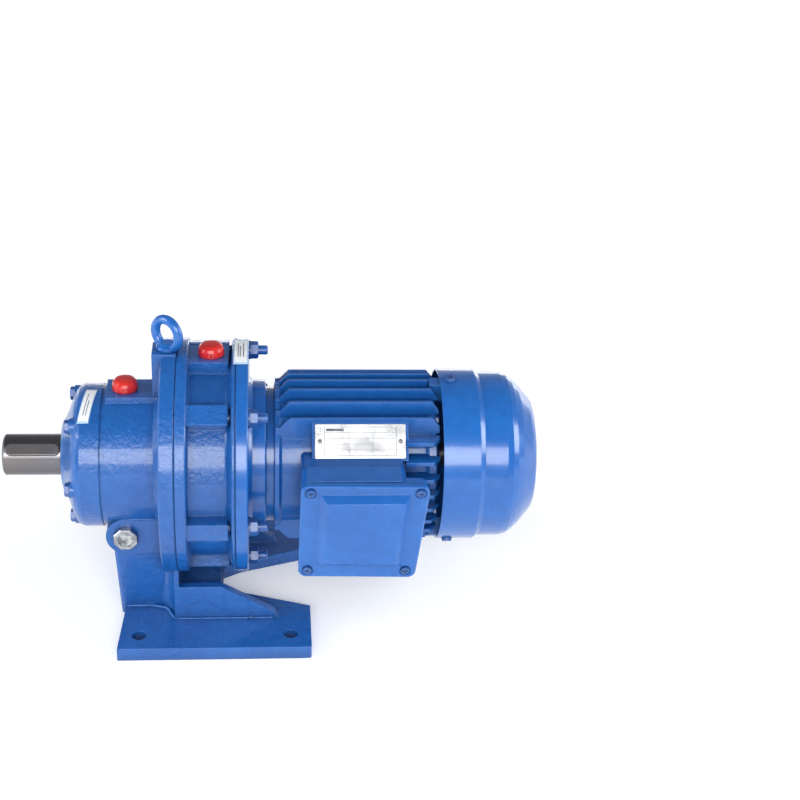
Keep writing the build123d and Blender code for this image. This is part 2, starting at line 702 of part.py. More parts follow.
def dome_plug(x, z):
    """Screwed plastic plug with a domed head standing at (x, 0, z)."""
    with BuildSketch(Plane(origin=(x, 0, z), x_dir=(1, 0, 0), z_dir=(0, -1, 0))) as half:
        with BuildLine():
            Polyline((0, -11), (6.4, -11), (7, -10.4), (7, 0), (10.5, 0), (10.8, 1.0), (10.5, 5.2), (9.6, 7.6),
                     (7.6, 9.3), (5.0, 10.0), (0, 10.2), close=True)
        make_face()
    revolve(half.sketch, axis=Axis((x, 0, z), (0, 0, 1)))


with BuildPart() as oil_fill_plug:
    dome_plug(-74.5, H + 63.5)
finish(oil_fill_plug.part, "oil_fill_plug")

with BuildPart() as breather_plug:
    dome_plug(X_BREATHER, H + 96)
    with BuildSketch(Plane.XY.offset(H + 84)):
        with Locations((X_BREATHER, 0)):
            Circle(1.2)
    extrude(amount=15, mode=Mode.SUBTRACT)
    with BuildSketch(front(-12)):
        with Locations((X_BREATHER, H + 98.5)):
            Circle(0.8)
    extrude(amount=-24, mode=Mode.SUBTRACT)
finish(breather_plug.part, "breather_plug")

with BuildPart() as sight_glass_body:
    with BuildSketch(front(-50)):
        with Locations((-74.5, 88.5)):
            RegularPolygon(10.0, 8, major_radius=False, rotation=22.5)
    extrude(amount=5.5)
    chamfer(sight_glass_body.faces().sort_by(Axis.Y)[0].edges(), 0.8)
    with BuildSketch(front(-50)):
        with Locations((-74.5, 88.5)):
            Circle(7.5)
    extrude(amount=-10)
    with BuildSketch(front(-56)):
        with Locations((-74.5, 88.5)):
            Circle(6.4)
    extrude(amount=-4.5, mode=Mode.SUBTRACT)
    with BuildSketch(front(-52)):
        with Locations((-74.5, 88.5)):
            Circle(4.6)
    extrude(amount=-13, mode=Mode.SUBTRACT)
finish(sight_glass_body.part, "sight_glass_body")

with BuildPart() as sight_glass_lens:
    with BuildSketch(front(-54.4)):
        with Locations((-74.5, 88.5)):
            Circle(6.38)
    extrude(amount=-2.9)
finish(sight_glass_lens.part, "sight_glass_lens")

with BuildPart() as drain_plug:
    with BuildSketch(front(51)):
        with Locations((-68, 68)):
            Circle(8)
    extrude(amount=-1.6)
    with BuildSketch(front(52.6)):
        with Locations((-68, 68)):
            RegularPolygon(6.5, 6, major_radius=False)
    extrude(amount=-5)
    with BuildSketch(front(51)):
        with Locations((-68, 68)):
            Circle(5.0)
    extrude(amount=11)
finish(drain_plug.part, "drain_plug")

# ===========================================================================
# motor frame
# ===========================================================================
FINS = (-42.0, -28.0, -14.0, 0.0, 14.0, 28.0, 42.0)
FIN_T = 3.2
X_FIN = 186.6
SHIELD_BOLT_A0 = 60.0
PLATE_A = 38.5            # direction of the nameplate seat
PLATE_X, PLATE_L, PLATE_W = 120.2, 74.5, 28.5
PLATE_SEAT = 69.4
BOX_X, BOX_Z = 113.5, 136.5   # terminal box on the front
BOX_L, BOX_W = 84.0, 81.0

COVER_SCREWS = (88.0, -52.0, 198.0)
X_SCREW = 198.0


def radial(x, radius, angle):
    """Plane across the radius at the given angle, facing outwards."""
    a = radians(angle)
    return Plane(origin=(x, -radius * cos(a), H + radius * sin(a)), x_dir=(1, 0, 0), z_dir=(0, -cos(a), sin(a)))


with BuildPart() as motor_frame:
    with BuildSketch(PROF):
        with BuildLine():
            Polyline((X_FR0, 36.05), (X_FR0, 61.8), (X_FR0 + 0.6, 62.4), (53.6, 62.4), (54.4, 61.6), (54.6, 60.4),
                     (56, FRAME_R), (X_FR1 - 3, FRAME_R), (X_FR1, FRAME_R + 1.5), (X_FR1, STATOR_R),
                     (58, STATOR_R), (58, 36.05), close=True)
        make_face()
    revolve(axis=AXLE)
    # upright fins above and below, level fins on both sides
    for k in FINS:
        tip = sqrt(FIN_R ** 2 - k ** 2)
        foot = sqrt(FRAME_R ** 2 - k ** 2) - 2.5
        for s in (-1, 1):
            with BuildSketch(Plane(origin=(0, k, H), x_dir=(1, 0, 0), z_dir=(0, -1, 0))):
                with BuildLine():
                    Polyline((50.6, s * foot), (50.6, s * (tip - 8.5)), (54.0, s * (tip - 8.5)), (61.5, s * (tip - 0.4)),
                             (62.5, s * tip), (X_FIN - 6.4, s * tip), (X_FIN - 5.4, s * (tip - 0.4)), (X_FIN, s * (tip - 7.5)),
                             (X_FIN, s * (foot + 1)), (176, s * foot), close=True)
                make_face()
            extrude(amount=FIN_T / 2, both=True)
            # the front level fins start behind the terminal box seat
            with BuildSketch(Plane(origin=(0, 0, H + k), x_dir=(1, 0, 0), z_dir=(0, 0, 1))):
                with BuildLine():
                    if s > 0:
                        Polyline((50.6, foot), (50.6, tip - 8.5), (54.0, tip - 8.5), (61.5, tip - 0.4),
                                 (62.5, tip), (X_FIN - 6.4, tip), (X_FIN - 5.4, tip - 0.4), (X_FIN, tip - 7.5),
                                 (X_FIN, foot + 1), (176, foot), close=True)
                    else:
                        Polyline((158.0, -foot), (158.0, -tip), (X_FIN - 6.4, -tip), (X_FIN - 5.4, -tip + 0.4), (X_FIN, -tip + 7.5),
                                 (X_FIN, -foot - 1), (176, -foot), close=True)
                make_face()
            extrude(amount=FIN_T / 2, both=True)
    # seat of the terminal box on the front
    with BuildSketch(front(-52)):
        with Locations((BOX_X, 135)):
            RectangleRounded(BOX_L, 74, 4)
    extrude(amount=32)
    # seat of the nameplate
    with BuildSketch(Plane(origin=(PLATE_X, -55 * cos(radians(PLATE_A)), H + 55 * sin(radians(PLATE_A))),
                           x_dir=(1, 0, 0), z_dir=(0, -cos(radians(PLATE_A)), sin(radians(PLATE_A))))):
        Rectangle(PLATE_L + 5, PLATE_W + 4)
    extrude(amount=PLATE_SEAT - 55)
    # the bore stays clear of fins and seats
    with BuildSketch(sec(58)):
        Circle(STATOR_R)
    extrude(amount=130, mode=Mode.SUBTRACT)
    # motor end of the frame is faced flat for the rear endshield
    with BuildSketch(sec(X_FR1)):
        Circle(62.4)
    extrude(amount=12, mode=Mode.SUBTRACT)
    # room between the fins for the lugs of the rear endshield
    for a in COVER_SCREWS:
        with BuildSketch(radial(190, 54, a)):
            Rectangle(21, 14.2)
        extrude(amount=24, mode=Mode.SUBTRACT)
    with BuildSketch(sec(X_FR0)):
        with Locations(*spots(MOTOR_BOLT_R, 4, MOTOR_BOLT_A0)):
            Circle(3.02)
    extrude(amount=9, mode=Mode.SUBTRACT)
    with BuildSketch(sec(X_FR1)):
        with Locations(*spots(55.7, 4, SHIELD_BOLT_A0)):
            Circle(2.02)
    extrude(amount=-16, mode=Mode.SUBTRACT)
    # cable way from the windings into the terminal box
    with BuildSketch(front(-86)):
        with Locations((118, 137)):
            Circle(9)
    extrude(amount=-44, mode=Mode.SUBTRACT)
finish(motor_frame.part, "motor_frame")

with BuildPart() as nameplate:
    with BuildSketch(Plane(origin=(PLATE_X, -PLATE_SEAT * cos(radians(PLATE_A)), H + PLATE_SEAT * sin(radians(PLATE_A))),
                           x_dir=(1, 0, 0), z_dir=(0, -cos(radians(PLATE_A)), sin(radians(PLATE_A))))):
        RectangleRounded(PLATE_L, PLATE_W, 1.2)
        with Locations((-PLATE_L / 2 + 4, 0), (PLATE_L / 2 - 4, 0)):
            Circle(1.3, mode=Mode.SUBTRACT)
    extrude(amount=0.8)
finish(nameplate.part, "nameplate")

# ===========================================================================
# motor inside: stator, rotor, shaft, bearings
# ===========================================================================
with BuildPart() as stator_core:
    ring(82, 148, STATOR_R, 35.0)
    with BuildSketch(sec(82)):
        with PolarLocations(42.2, 24):
            Rectangle(9.0, 3.6)
    extrude(amount=66, mode=Mode.SUBTRACT)
finish(stator_core.part, "stator_core")

with BuildPart() as stator_windings:
    with BuildSketch(sec(82)):
        with PolarLocations(42.2, 24):
            Rectangle(8.8, 3.4)
    extrude(amount=66)
    for x0, x1 in ((66, 82), (148, 164)):
        with BuildSketch(PROF):
            with Locations(((x0 + x1) / 2, 43)):
                RectangleRounded(16, 12, 3)
        revolve(axis=AXLE)
finish(stator_windings.part, "stator_windings")

with BuildPart() as rotor_core:
    ring(82, 148, 34.6, 15.0)
    ring(76, 82, 32.5, 22)
    ring(148, 154, 32.5, 22)
finish(rotor_core.part, "rotor_core")

with BuildPart() as motor_shaft:
    with BuildSketch(PROF):
        with BuildLine():
            Polyline((-37.2, 0), (-37.2, 7.9), (-36.6, 8.5), (-24.5, 8.5), (-24.5, 11.0), (26.0, 11.0), (26.0, 12.5),
                     (62, 12.5), (62, 15.0), (168, 15.0), (168, 10.0), (206, 10.0), (206, 8.5), (240, 8.5),
                     (241, 7.5), (241, 0), close=True)
        make_face()
    revolve(axis=AXLE)
    # keyseat for the eccentric sleeve
    with BuildSketch(Plane(origin=(-7, 0, H + 8.0), x_dir=(1, 0, 0), z_dir=(0, 0, 1))):
        SlotOverall(24, 6)
    extrude(amount=6, mode=Mode.SUBTRACT)
finish(motor_shaft.part, "motor_shaft")

with BuildPart() as eccentric_key:
    with BuildSketch(Plane(origin=(-7, 0, H + 8.0), x_dir=(1, 0, 0), z_dir=(0, 0, 1))):
        SlotOverall(23.9, 5.96)
    extrude(amount=5.8)
finish(eccentric_key.part, "eccentric_key")

with BuildPart() as input_oil_seal:
    with BuildSketch(PROF):
        with BuildLine():
            Polyline((26.3, 23.45), (33.5, 23.45), (33.5, 15.5), (31.5, 12.56), (30.5, 12.56), (29.3, 15.6),
                     (29.3, 21), (28, 21), (28, 14.5), (26.3, 14.5), close=True)
        make_face()
    revolve(axis=AXLE)
finish(input_oil_seal.part, "input_oil_seal")

with BuildPart() as motor_bearing_outer_rings:
    bearing_outer(*BRG_DE[:6])
    bearing_outer(*BRG_NDE[:6])
finish(motor_bearing_outer_rings.part, "motor_bearing_outer_rings")

with BuildPart() as motor_bearing_inner_rings:
    bearing_inner(*BRG_DE[:6])
    bearing_inner(*BRG_NDE[:6])
finish(motor_bearing_inner_rings.part, "motor_bearing_inner_rings")

with BuildPart() as motor_bearing_balls:
    bearing_balls(BRG_DE[0], BRG_DE[1], BRG_DE[4], BRG_DE[5], BRG_DE[6])
    bearing_balls(BRG_NDE[0], BRG_NDE[1], BRG_NDE[4], BRG_NDE[5], BRG_NDE[6])
finish(motor_bearing_balls.part, "motor_bearing_balls")

# ===========================================================================
# rear endshield, fan and fan cover
# ===========================================================================
with BuildPart() as rear_endshield:
    with BuildSketch(PROF):
        with BuildLine():
            Polyline((171.3, 23.5), (171.3, 29), (174, 31), (178 + 0.0, 31), (178, 46), (172, 46), (172, STATOR_R - 0.04),
                     (178, STATOR_R - 0.04), (178, 62), (183, 62), (184, 61), (184, 38), (189, 33), (189.5, 32), (189.5, 10.8),
                     (185.7, 10.8), (185.7, 23.5), close=True)
        make_face()
    revolve(axis=AXLE)
    for a in COVER_SCREWS:
        with BuildSketch(radial(192.5, 56, a)):
            RectangleRounded(25, 13, 2)
        extrude(amount=15.6)
    with BuildSketch(sec(178)):
        Circle(FRAME_R + 3)
        Circle(FRAME_R - 10, mode=Mode.SUBTRACT)
    extrude(amount=6)
    for a in COVER_SCREWS:
        with BuildSketch(radial(X_SCREW, 72, a)):
            Circle(2.02)
        extrude(amount=-11, mode=Mode.SUBTRACT)
    with BuildSketch(sec(176)):
        with Locations(*spots(55.7, 4, SHIELD_BOLT_A0)):
            Circle(2.3)
    extrude(amount=10, mode=Mode.SUBTRACT)
finish(rear_endshield.part, "rear_endshield")

with BuildPart() as rear_shield_bolts:
    hex_head(184.0, spots(55.7, 4, SHIELD_BOLT_A0), 7.0, 3.0)
    with BuildSketch(sec(184)):
        with Locations(*spots(55.7, 4, SHIELD_BOLT_A0)):
            Circle(2.0)
    extrude(amount=-20)
finish(rear_shield_bolts.part, "rear_shield_bolts")

with BuildPart() as fan:
    ring(212, 238, 15.0, 8.52)
    ring(212, 214.5, 60.0, 14.0)
    with BuildSketch(sec(214)):
        with PolarLocations(38, 8):
            Rectangle(44, 2.4)
    extrude(amount=22)
finish(fan.part, "fan")

with BuildPart() as fan_cover:
    with BuildSketch(PROF):
        with BuildLine():
            Polyline((X_FC0, RIM_R - SHEET), (X_FC0, RIM_R), (X_FC_STEP - 2, RIM_R), (X_FC_STEP + 2, COVER2_R),
                     (243, COVER2_R), (248, 69.8), (252.5, 66.9), (258, 62), (267, 52.0), (269.8, 48.4), (X_FC1, 45),
                     (X_FC1, 0), (X_FC1 - SHEET, 0), (X_FC1 - SHEET, 44.6), (268.5, 47.4), (265.8, 50.9), (256.9, 60.8),
                     (251.5, 65.5), (247.4, 68.3), (243, COVER2_R - SHEET), (X_FC_STEP + 1.4, COVER2_R - SHEET),
                     (X_FC_STEP - 2.6, RIM_R - SHEET), close=True)
        make_face()
    revolve(axis=AXLE)
    # air inlet
    with BuildSketch(sec(X_FC1 - 3)):
        Circle(2.5)
        for r, n in ((9, 7), (17, 13), (25, 19), (33, 25), (40, 31)):
            with PolarLocations(r, n):
                Circle(2.5)
    extrude(amount=5, mode=Mode.SUBTRACT)
    for a in COVER_SCREWS:
        with BuildSketch(radial(X_SCREW, 76, a)):
            Circle(2.4)
        extrude(amount=-8, mode=Mode.SUBTRACT)
finish(fan_cover.part, "fan_cover")

with BuildPart() as fan_cover_screws:
    for a in COVER_SCREWS:
        with BuildSketch(radial(X_SCREW, RIM_R + 0.1, a)):
            Circle(4.6)
        extrude(amount=2.6, taper=12)
        with BuildSketch(radial(X_SCREW, RIM_R + 0.1, a)):
            Circle(2.0)
        extrude(amount=-10)
        with BuildSketch(radial(X_SCREW, RIM_R + 2.7, a)):
            Rectangle(5.4, 1.1)
            Rectangle(1.1, 5.4)
        extrude(amount=-1.4, mode=Mode.SUBTRACT)
finish(fan_cover_screws.part, "fan_cover_screws")

# ===========================================================================
# terminal box on the front of the frame
# ===========================================================================
X_GLAND = 138.0
Y_BOX0, Y_BOX1 = -84.0, -107.0
Y_LID = -108.0
LID_OUTLINE = ((70.2, 176.9), (174.0, 175.8), (164.2, 88.2), (68.7, 90.3))
RIM_OUTLINE = ((71.0, 176.1), (173.1, 175.0), (163.5, 89.0), (69.5, 91.1))
LID_SCREWS = [(78.1, 170.2), (166.0, 169.6), (156.0, 95.8), (76.2, 97.0)]


def panel(y, corners, radius, amount):
    """Slab with rounded corners standing on the front plane y."""
    with BuildSketch(front(y)) as slab:
        with BuildLine():
            Polyline(*corners, close=True)
        make_face()
        fillet(slab.vertices(), radius)
    extrude(slab.sketch, amount=amount)


with BuildPart() as terminal_box:
    with BuildSketch(front(Y_BOX0)):
        with Locations((BOX_X, BOX_Z)):
            RectangleRounded(BOX_L, BOX_W, 6)
    extrude(amount=Y_BOX0 - Y_BOX1)
    # rim that carries the lid
    panel(Y_BOX1 + 8, RIM_OUTLINE, 6.5, 8)
    with BuildSketch(front(Y_BOX0 - 4)):
        with Locations((BOX_X, BOX_Z)):
            RectangleRounded(BOX_L - 8, BOX_W - 8, 4)
    extrude(amount=30, mode=Mode.SUBTRACT)
    # notch in the rim for the cable gland
    with BuildSketch(Plane.XY.offset(BOX_Z - BOX_W / 2)):
        with Locations((X_GLAND, -98)):
            Rectangle(26, 22)
    extrude(amount=-12, mode=Mode.SUBTRACT)
    # screw posts in the corners
    with BuildSketch(front(Y_BOX1 + 11)):
        with Locations(LID_SCREWS[0], LID_SCREWS[3]):
            Circle(5.0)
    extrude(amount=11)
    with BuildSketch(front(Y_BOX1)):
        with Locations(*LID_SCREWS):
            Circle(2.02)
    extrude(amount=-15, mode=Mode.SUBTRACT)
    # boss and threaded cable entry in the underside
    with BuildSketch(Plane.XY.offset(BOX_Z - BOX_W / 2)):
        with Locations((X_GLAND, -96)):
            Rectangle(28, 21)
    extrude(amount=7)
    with BuildSketch(Plane.XY.offset(BOX_Z - BOX_W / 2 - 1)):
        with Locations((X_GLAND, -96)):
            Circle(8.02)
    extrude(amount=9, mode=Mode.SUBTRACT)
    # cable way through the back wall
    with BuildSketch(front(-82)):
        with Locations((118, 137)):
            Circle(9)
    extrude(amount=8, mode=Mode.SUBTRACT)
finish(terminal_box.part, "terminal_box")

with BuildPart() as terminal_gasket:
    panel(Y_BOX1, RIM_OUTLINE, 6.5, 1)
    with BuildSketch(front(Y_BOX1)):
        with Locations((BOX_X, BOX_Z)):
            RectangleRounded(BOX_L - 9, BOX_W - 9, 4)
    extrude(amount=1, mode=Mode.SUBTRACT)
    with BuildSketch(front(Y_BOX1)):
        with Locations(LID_SCREWS[0], LID_SCREWS[3]):
            Circle(4.6)
    extrude(amount=1)
    with BuildSketch(front(Y_BOX1)):
        with Locations(*LID_SCREWS):
            Circle(2.2)
    extrude(amount=1, mode=Mode.SUBTRACT)
finish(terminal_gasket.part, "terminal_gasket")

with BuildPart() as terminal_lid:
    panel(Y_LID, LID_OUTLINE, 7, 6)
    chamfer(terminal_lid.faces().sort_by(Axis.Y)[0].edges(), 1.2)
    # raised panel
    with BuildSketch(front(Y_LID - 6)):
        with BuildLine():
            Polyline((85.5, 168.8), (158.5, 168.8), (152.5, 100.0), (84.0, 101.5), close=True)
        make_face()
    with BuildSketch(front(Y_LID - 12)):
        with BuildLine():
            Polyline((91.5, 163.2), (153.5, 163.2), (147.5, 106.0), (90.0, 107.5), close=True)
        make_face()
    loft()
    with BuildSketch(front(Y_LID)):
        with Locations((119.5, 135.5)):
            RectangleRounded(48, 48, 4)
    extrude(amount=7, mode=Mode.SUBTRACT)
    with BuildSketch(front(Y_LID)):
        with Locations(*LID_SCREWS):
            Circle(2.3)
    extrude(amount=20, mode=Mode.SUBTRACT)
    with BuildSketch(front(Y_LID - 5)):
        with Locations(*LID_SCREWS):
            Circle(4.9)
    extrude(amount=20, mode=Mode.SUBTRACT)
finish(terminal_lid.part, "terminal_lid")

with BuildPart() as lid_screws:
    with BuildSketch(front(Y_LID - 5)):
        with Locations(*LID_SCREWS):
            Circle(3.9)
    extrude(amount=2.4, taper=15)
    with BuildSketch(front(Y_LID - 5)):
        with Locations(*LID_SCREWS):
            Circle(2.0)
    extrude(amount=-12)
    with BuildSketch(front(Y_LID - 7.4)):
        with Locations(*LID_SCREWS):
            Rectangle(4.4, 1.0)
            Rectangle(1.0, 4.4)
    extrude(amount=-1.3, mode=Mode.SUBTRACT)
finish(lid_screws.part, "lid_screws")

with BuildPart() as terminal_board:
    with BuildSketch(front(Y_BOX0 - 4)):
        with Locations((98, 137)):
            RectangleRounded(20, 56, 2)
    extrude(amount=6)
    with BuildSketch(front(Y_BOX0 - 4)):
        for i in range(6):
            with Locations((94 + 8 * (i % 2), 119 + 18 * (i // 2))):
                Circle(1.52)
    extrude(amount=6, mode=Mode.SUBTRACT)
finish(terminal_board.part, "terminal_board")

with BuildPart() as terminal_studs:
    for i in range(6):
        with BuildSketch(front(Y_BOX0 - 4)):
            with Locations((94 + 8 * (i % 2), 119 + 18 * (i // 2))):
                Circle(1.5)
        extrude(amount=15)
        with BuildSketch(front(Y_BOX0 - 10)):
            with Locations((94 + 8 * (i % 2), 119 + 18 * (i // 2))):
                RegularPolygon(3.0, 6, major_radius=False)
        extrude(amount=2.5)
finish(terminal_studs.part, "terminal_studs")

with BuildPart() as cable_gland:
    with BuildSketch(Plane(origin=(X_GLAND, -96, BOX_Z - BOX_W / 2), x_dir=(1, 0, 0), z_dir=(0, -1, 0))):
        with BuildLine():
            Polyline((4.6, 7.4), (7.6, 7.4), (8.0, 7.0), (8.0, 0), (9.5, 0), (9.5, -4.6), (9.2, -8.4), (8.5, -10.2), (7.2, -11.2),
                     (5.4, -11.6), (4.6, -11.0), close=True)
        make_face()
    revolve(axis=Axis((X_GLAND, -96, BOX_Z - BOX_W / 2), (0, 0, 1)))
    with BuildSketch(Plane.XY.offset(BOX_Z - BOX_W / 2)):
        with Locations((X_GLAND, -96)):
            RegularPolygon(9.8, 6, major_radius=False)
            Circle(8.5, mode=Mode.SUBTRACT)
    extrude(amount=-3.6)
    with BuildSketch(Plane.XY.offset(BOX_Z - BOX_W / 2 - 4.6)):
        with Locations((X_GLAND, -96)):
            RegularPolygon(9.8, 6, major_radius=False)
            Circle(8.5, mode=Mode.SUBTRACT)
    extrude(amount=-4.2)
finish(cable_gland.part, "cable_gland")
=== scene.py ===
import json
import math
import random

import bmesh
import bpy
from mathutils import Matrix, Vector, noise


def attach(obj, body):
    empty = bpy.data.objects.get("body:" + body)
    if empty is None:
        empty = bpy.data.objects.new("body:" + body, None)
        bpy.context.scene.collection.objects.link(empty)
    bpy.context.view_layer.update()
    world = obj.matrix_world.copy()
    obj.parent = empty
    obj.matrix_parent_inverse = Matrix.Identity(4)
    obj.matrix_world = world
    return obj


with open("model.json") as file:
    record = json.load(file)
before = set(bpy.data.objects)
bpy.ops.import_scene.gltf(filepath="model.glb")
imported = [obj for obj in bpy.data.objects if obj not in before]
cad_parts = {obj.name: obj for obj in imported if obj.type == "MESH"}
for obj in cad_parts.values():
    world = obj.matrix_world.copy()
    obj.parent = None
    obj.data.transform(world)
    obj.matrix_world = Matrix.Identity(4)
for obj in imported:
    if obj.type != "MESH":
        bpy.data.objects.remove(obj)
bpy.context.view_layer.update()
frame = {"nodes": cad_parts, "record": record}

random.seed(7)
N = frame["nodes"]
scene = bpy.context.scene
H = 0.140                     # height of the shaft line
MM = 0.001


# ---------------------------------------------------------------------------
# camera, floor and light
# ---------------------------------------------------------------------------
def make_camera():
    pos = Vector((0.0394, -1.1911, 0.8415))
    yaw, pitch, roll = (math.radians(a) for a in (5.62, 28.47, 2.68))
    fwd = Vector((math.sin(yaw) * math.cos(pitch), math.cos(yaw) * math.cos(pitch), -math.sin(pitch)))
    r0 = Vector((math.cos(yaw), -math.sin(yaw), 0))
    u0 = r0.cross(fwd)
    r = math.cos(roll) * r0 + math.sin(roll) * u0
    u = -math.sin(roll) * r0 + math.cos(roll) * u0
    data = bpy.data.cameras.new("view")
    data.lens = 71.95
    data.sensor_width = 36.0
    data.clip_start, data.clip_end = 0.05, 60
    cam = bpy.data.objects.new("view", data)
    scene.collection.objects.link(cam)
    m = Matrix((r, u, -fwd)).transposed().to_4x4()
    m.translation = pos
    cam.matrix_world = m
    scene.camera = cam
    return cam


def make_floor():
    me = bpy.data.meshes.new("floor")
    s = 9.0
    me.from_pydata([(-s, -s, 0), (s, -s, 0), (s, s, 0), (-s, s, 0)], [], [(0, 1, 2, 3)])
    ob = bpy.data.objects.new("floor", me)
    scene.collection.objects.link(ob)
    ob.location.z = -0.0003
    mat = bpy.data.materials.new("floor_pale")
    mat.use_nodes = True
    b = mat.node_tree.nodes["Principled BSDF"]
    b.inputs["Base Color"].default_value = (0.94, 0.94, 0.94, 1)
    b.inputs["Roughness"].default_value = 0.85
    b.inputs["Specular IOR Level"].default_value = 0.10
    b.inputs["Emission Color"].default_value = (1, 1, 1, 1)
    b.inputs["Emission Strength"].default_value = 0.22
    me.materials.append(mat)
    return ob


def area(name, pos, target, size, power, color=(1, 1, 1), spread=180):
    data = bpy.data.lights.new(name, "AREA")
    data.shape = "RECTANGLE"
    data.size, data.size_y = size
    data.energy = power
    data.color = color
    data.spread = math.radians(spread)
    ob = bpy.data.objects.new(name, data)
    scene.collection.objects.link(ob)
    ob.location = pos
    d = Vector(target) - Vector(pos)
    ob.rotation_euler = d.to_track_quat("-Z", "Y").to_euler()
    return ob


def make_light():
    world = bpy.data.worlds.new("studio")
    scene.world = world
    world.use_nodes = True
    nt = world.node_tree
    nt.nodes.clear()
    out = nt.nodes.new("ShaderNodeOutputWorld")
    bg = nt.nodes.new("ShaderNodeBackground")
    geo = nt.nodes.new("ShaderNodeTexCoord")
    sep = nt.nodes.new("ShaderNodeSeparateXYZ")
    nt.links.new(geo.outputs["Generated"], sep.inputs[0])
    ramp = nt.nodes.new("ShaderNodeValToRGB")
    ramp.color_ramp.elements[0].position = 0.48
    ramp.color_ramp.elements[0].color = (0.92, 0.95, 1.0, 1)
    ramp.color_ramp.elements[1].position = 0.95
    ramp.color_ramp.elements[1].color = (0.30, 0.31, 0.34, 1)
    mid = ramp.color_ramp.elements.new(0.66)
    mid.color = (0.50, 0.52, 0.57, 1)
    mp = nt.nodes.new("ShaderNodeMapRange")
    mp.inputs["From Min"].default_value = -1.0
    mp.inputs["From Max"].default_value = 1.0
    nt.links.new(sep.outputs["Z"], mp.inputs["Value"])
    nt.links.new(mp.outputs["Result"], ramp.inputs["Fac"])
    nt.links.new(ramp.outputs["Color"], bg.inputs["Color"])
    bg.inputs["Strength"].default_value = 0.62
    nt.links.new(bg.outputs[0], out.inputs["Surface"])
    # large soft box behind and round the viewing direction
    area("key", (0.00, -2.05, 1.16), (0.03, 0, 0.14), (1.75, 0.95), 46, (1.0, 0.99, 0.97))
    # fills from both sides
    area("fill_left", (-1.9, -0.3, 1.0), (0, 0, 0.14), (0.9, 1.2), 24, (0.95, 0.98, 1.0))
    area("fill_right", (2.0, -0.2, 1.0), (0, 0, 0.14), (0.8, 1.2), 26, (0.95, 0.98, 1.0))
    # light for the floor behind the object only
    area("floor_back", (0.0, 2.5, 1.7), (0.0, 2.5, 0.0), (7.0, 2.4), 170, (1.0, 1.0, 1.0), 80)


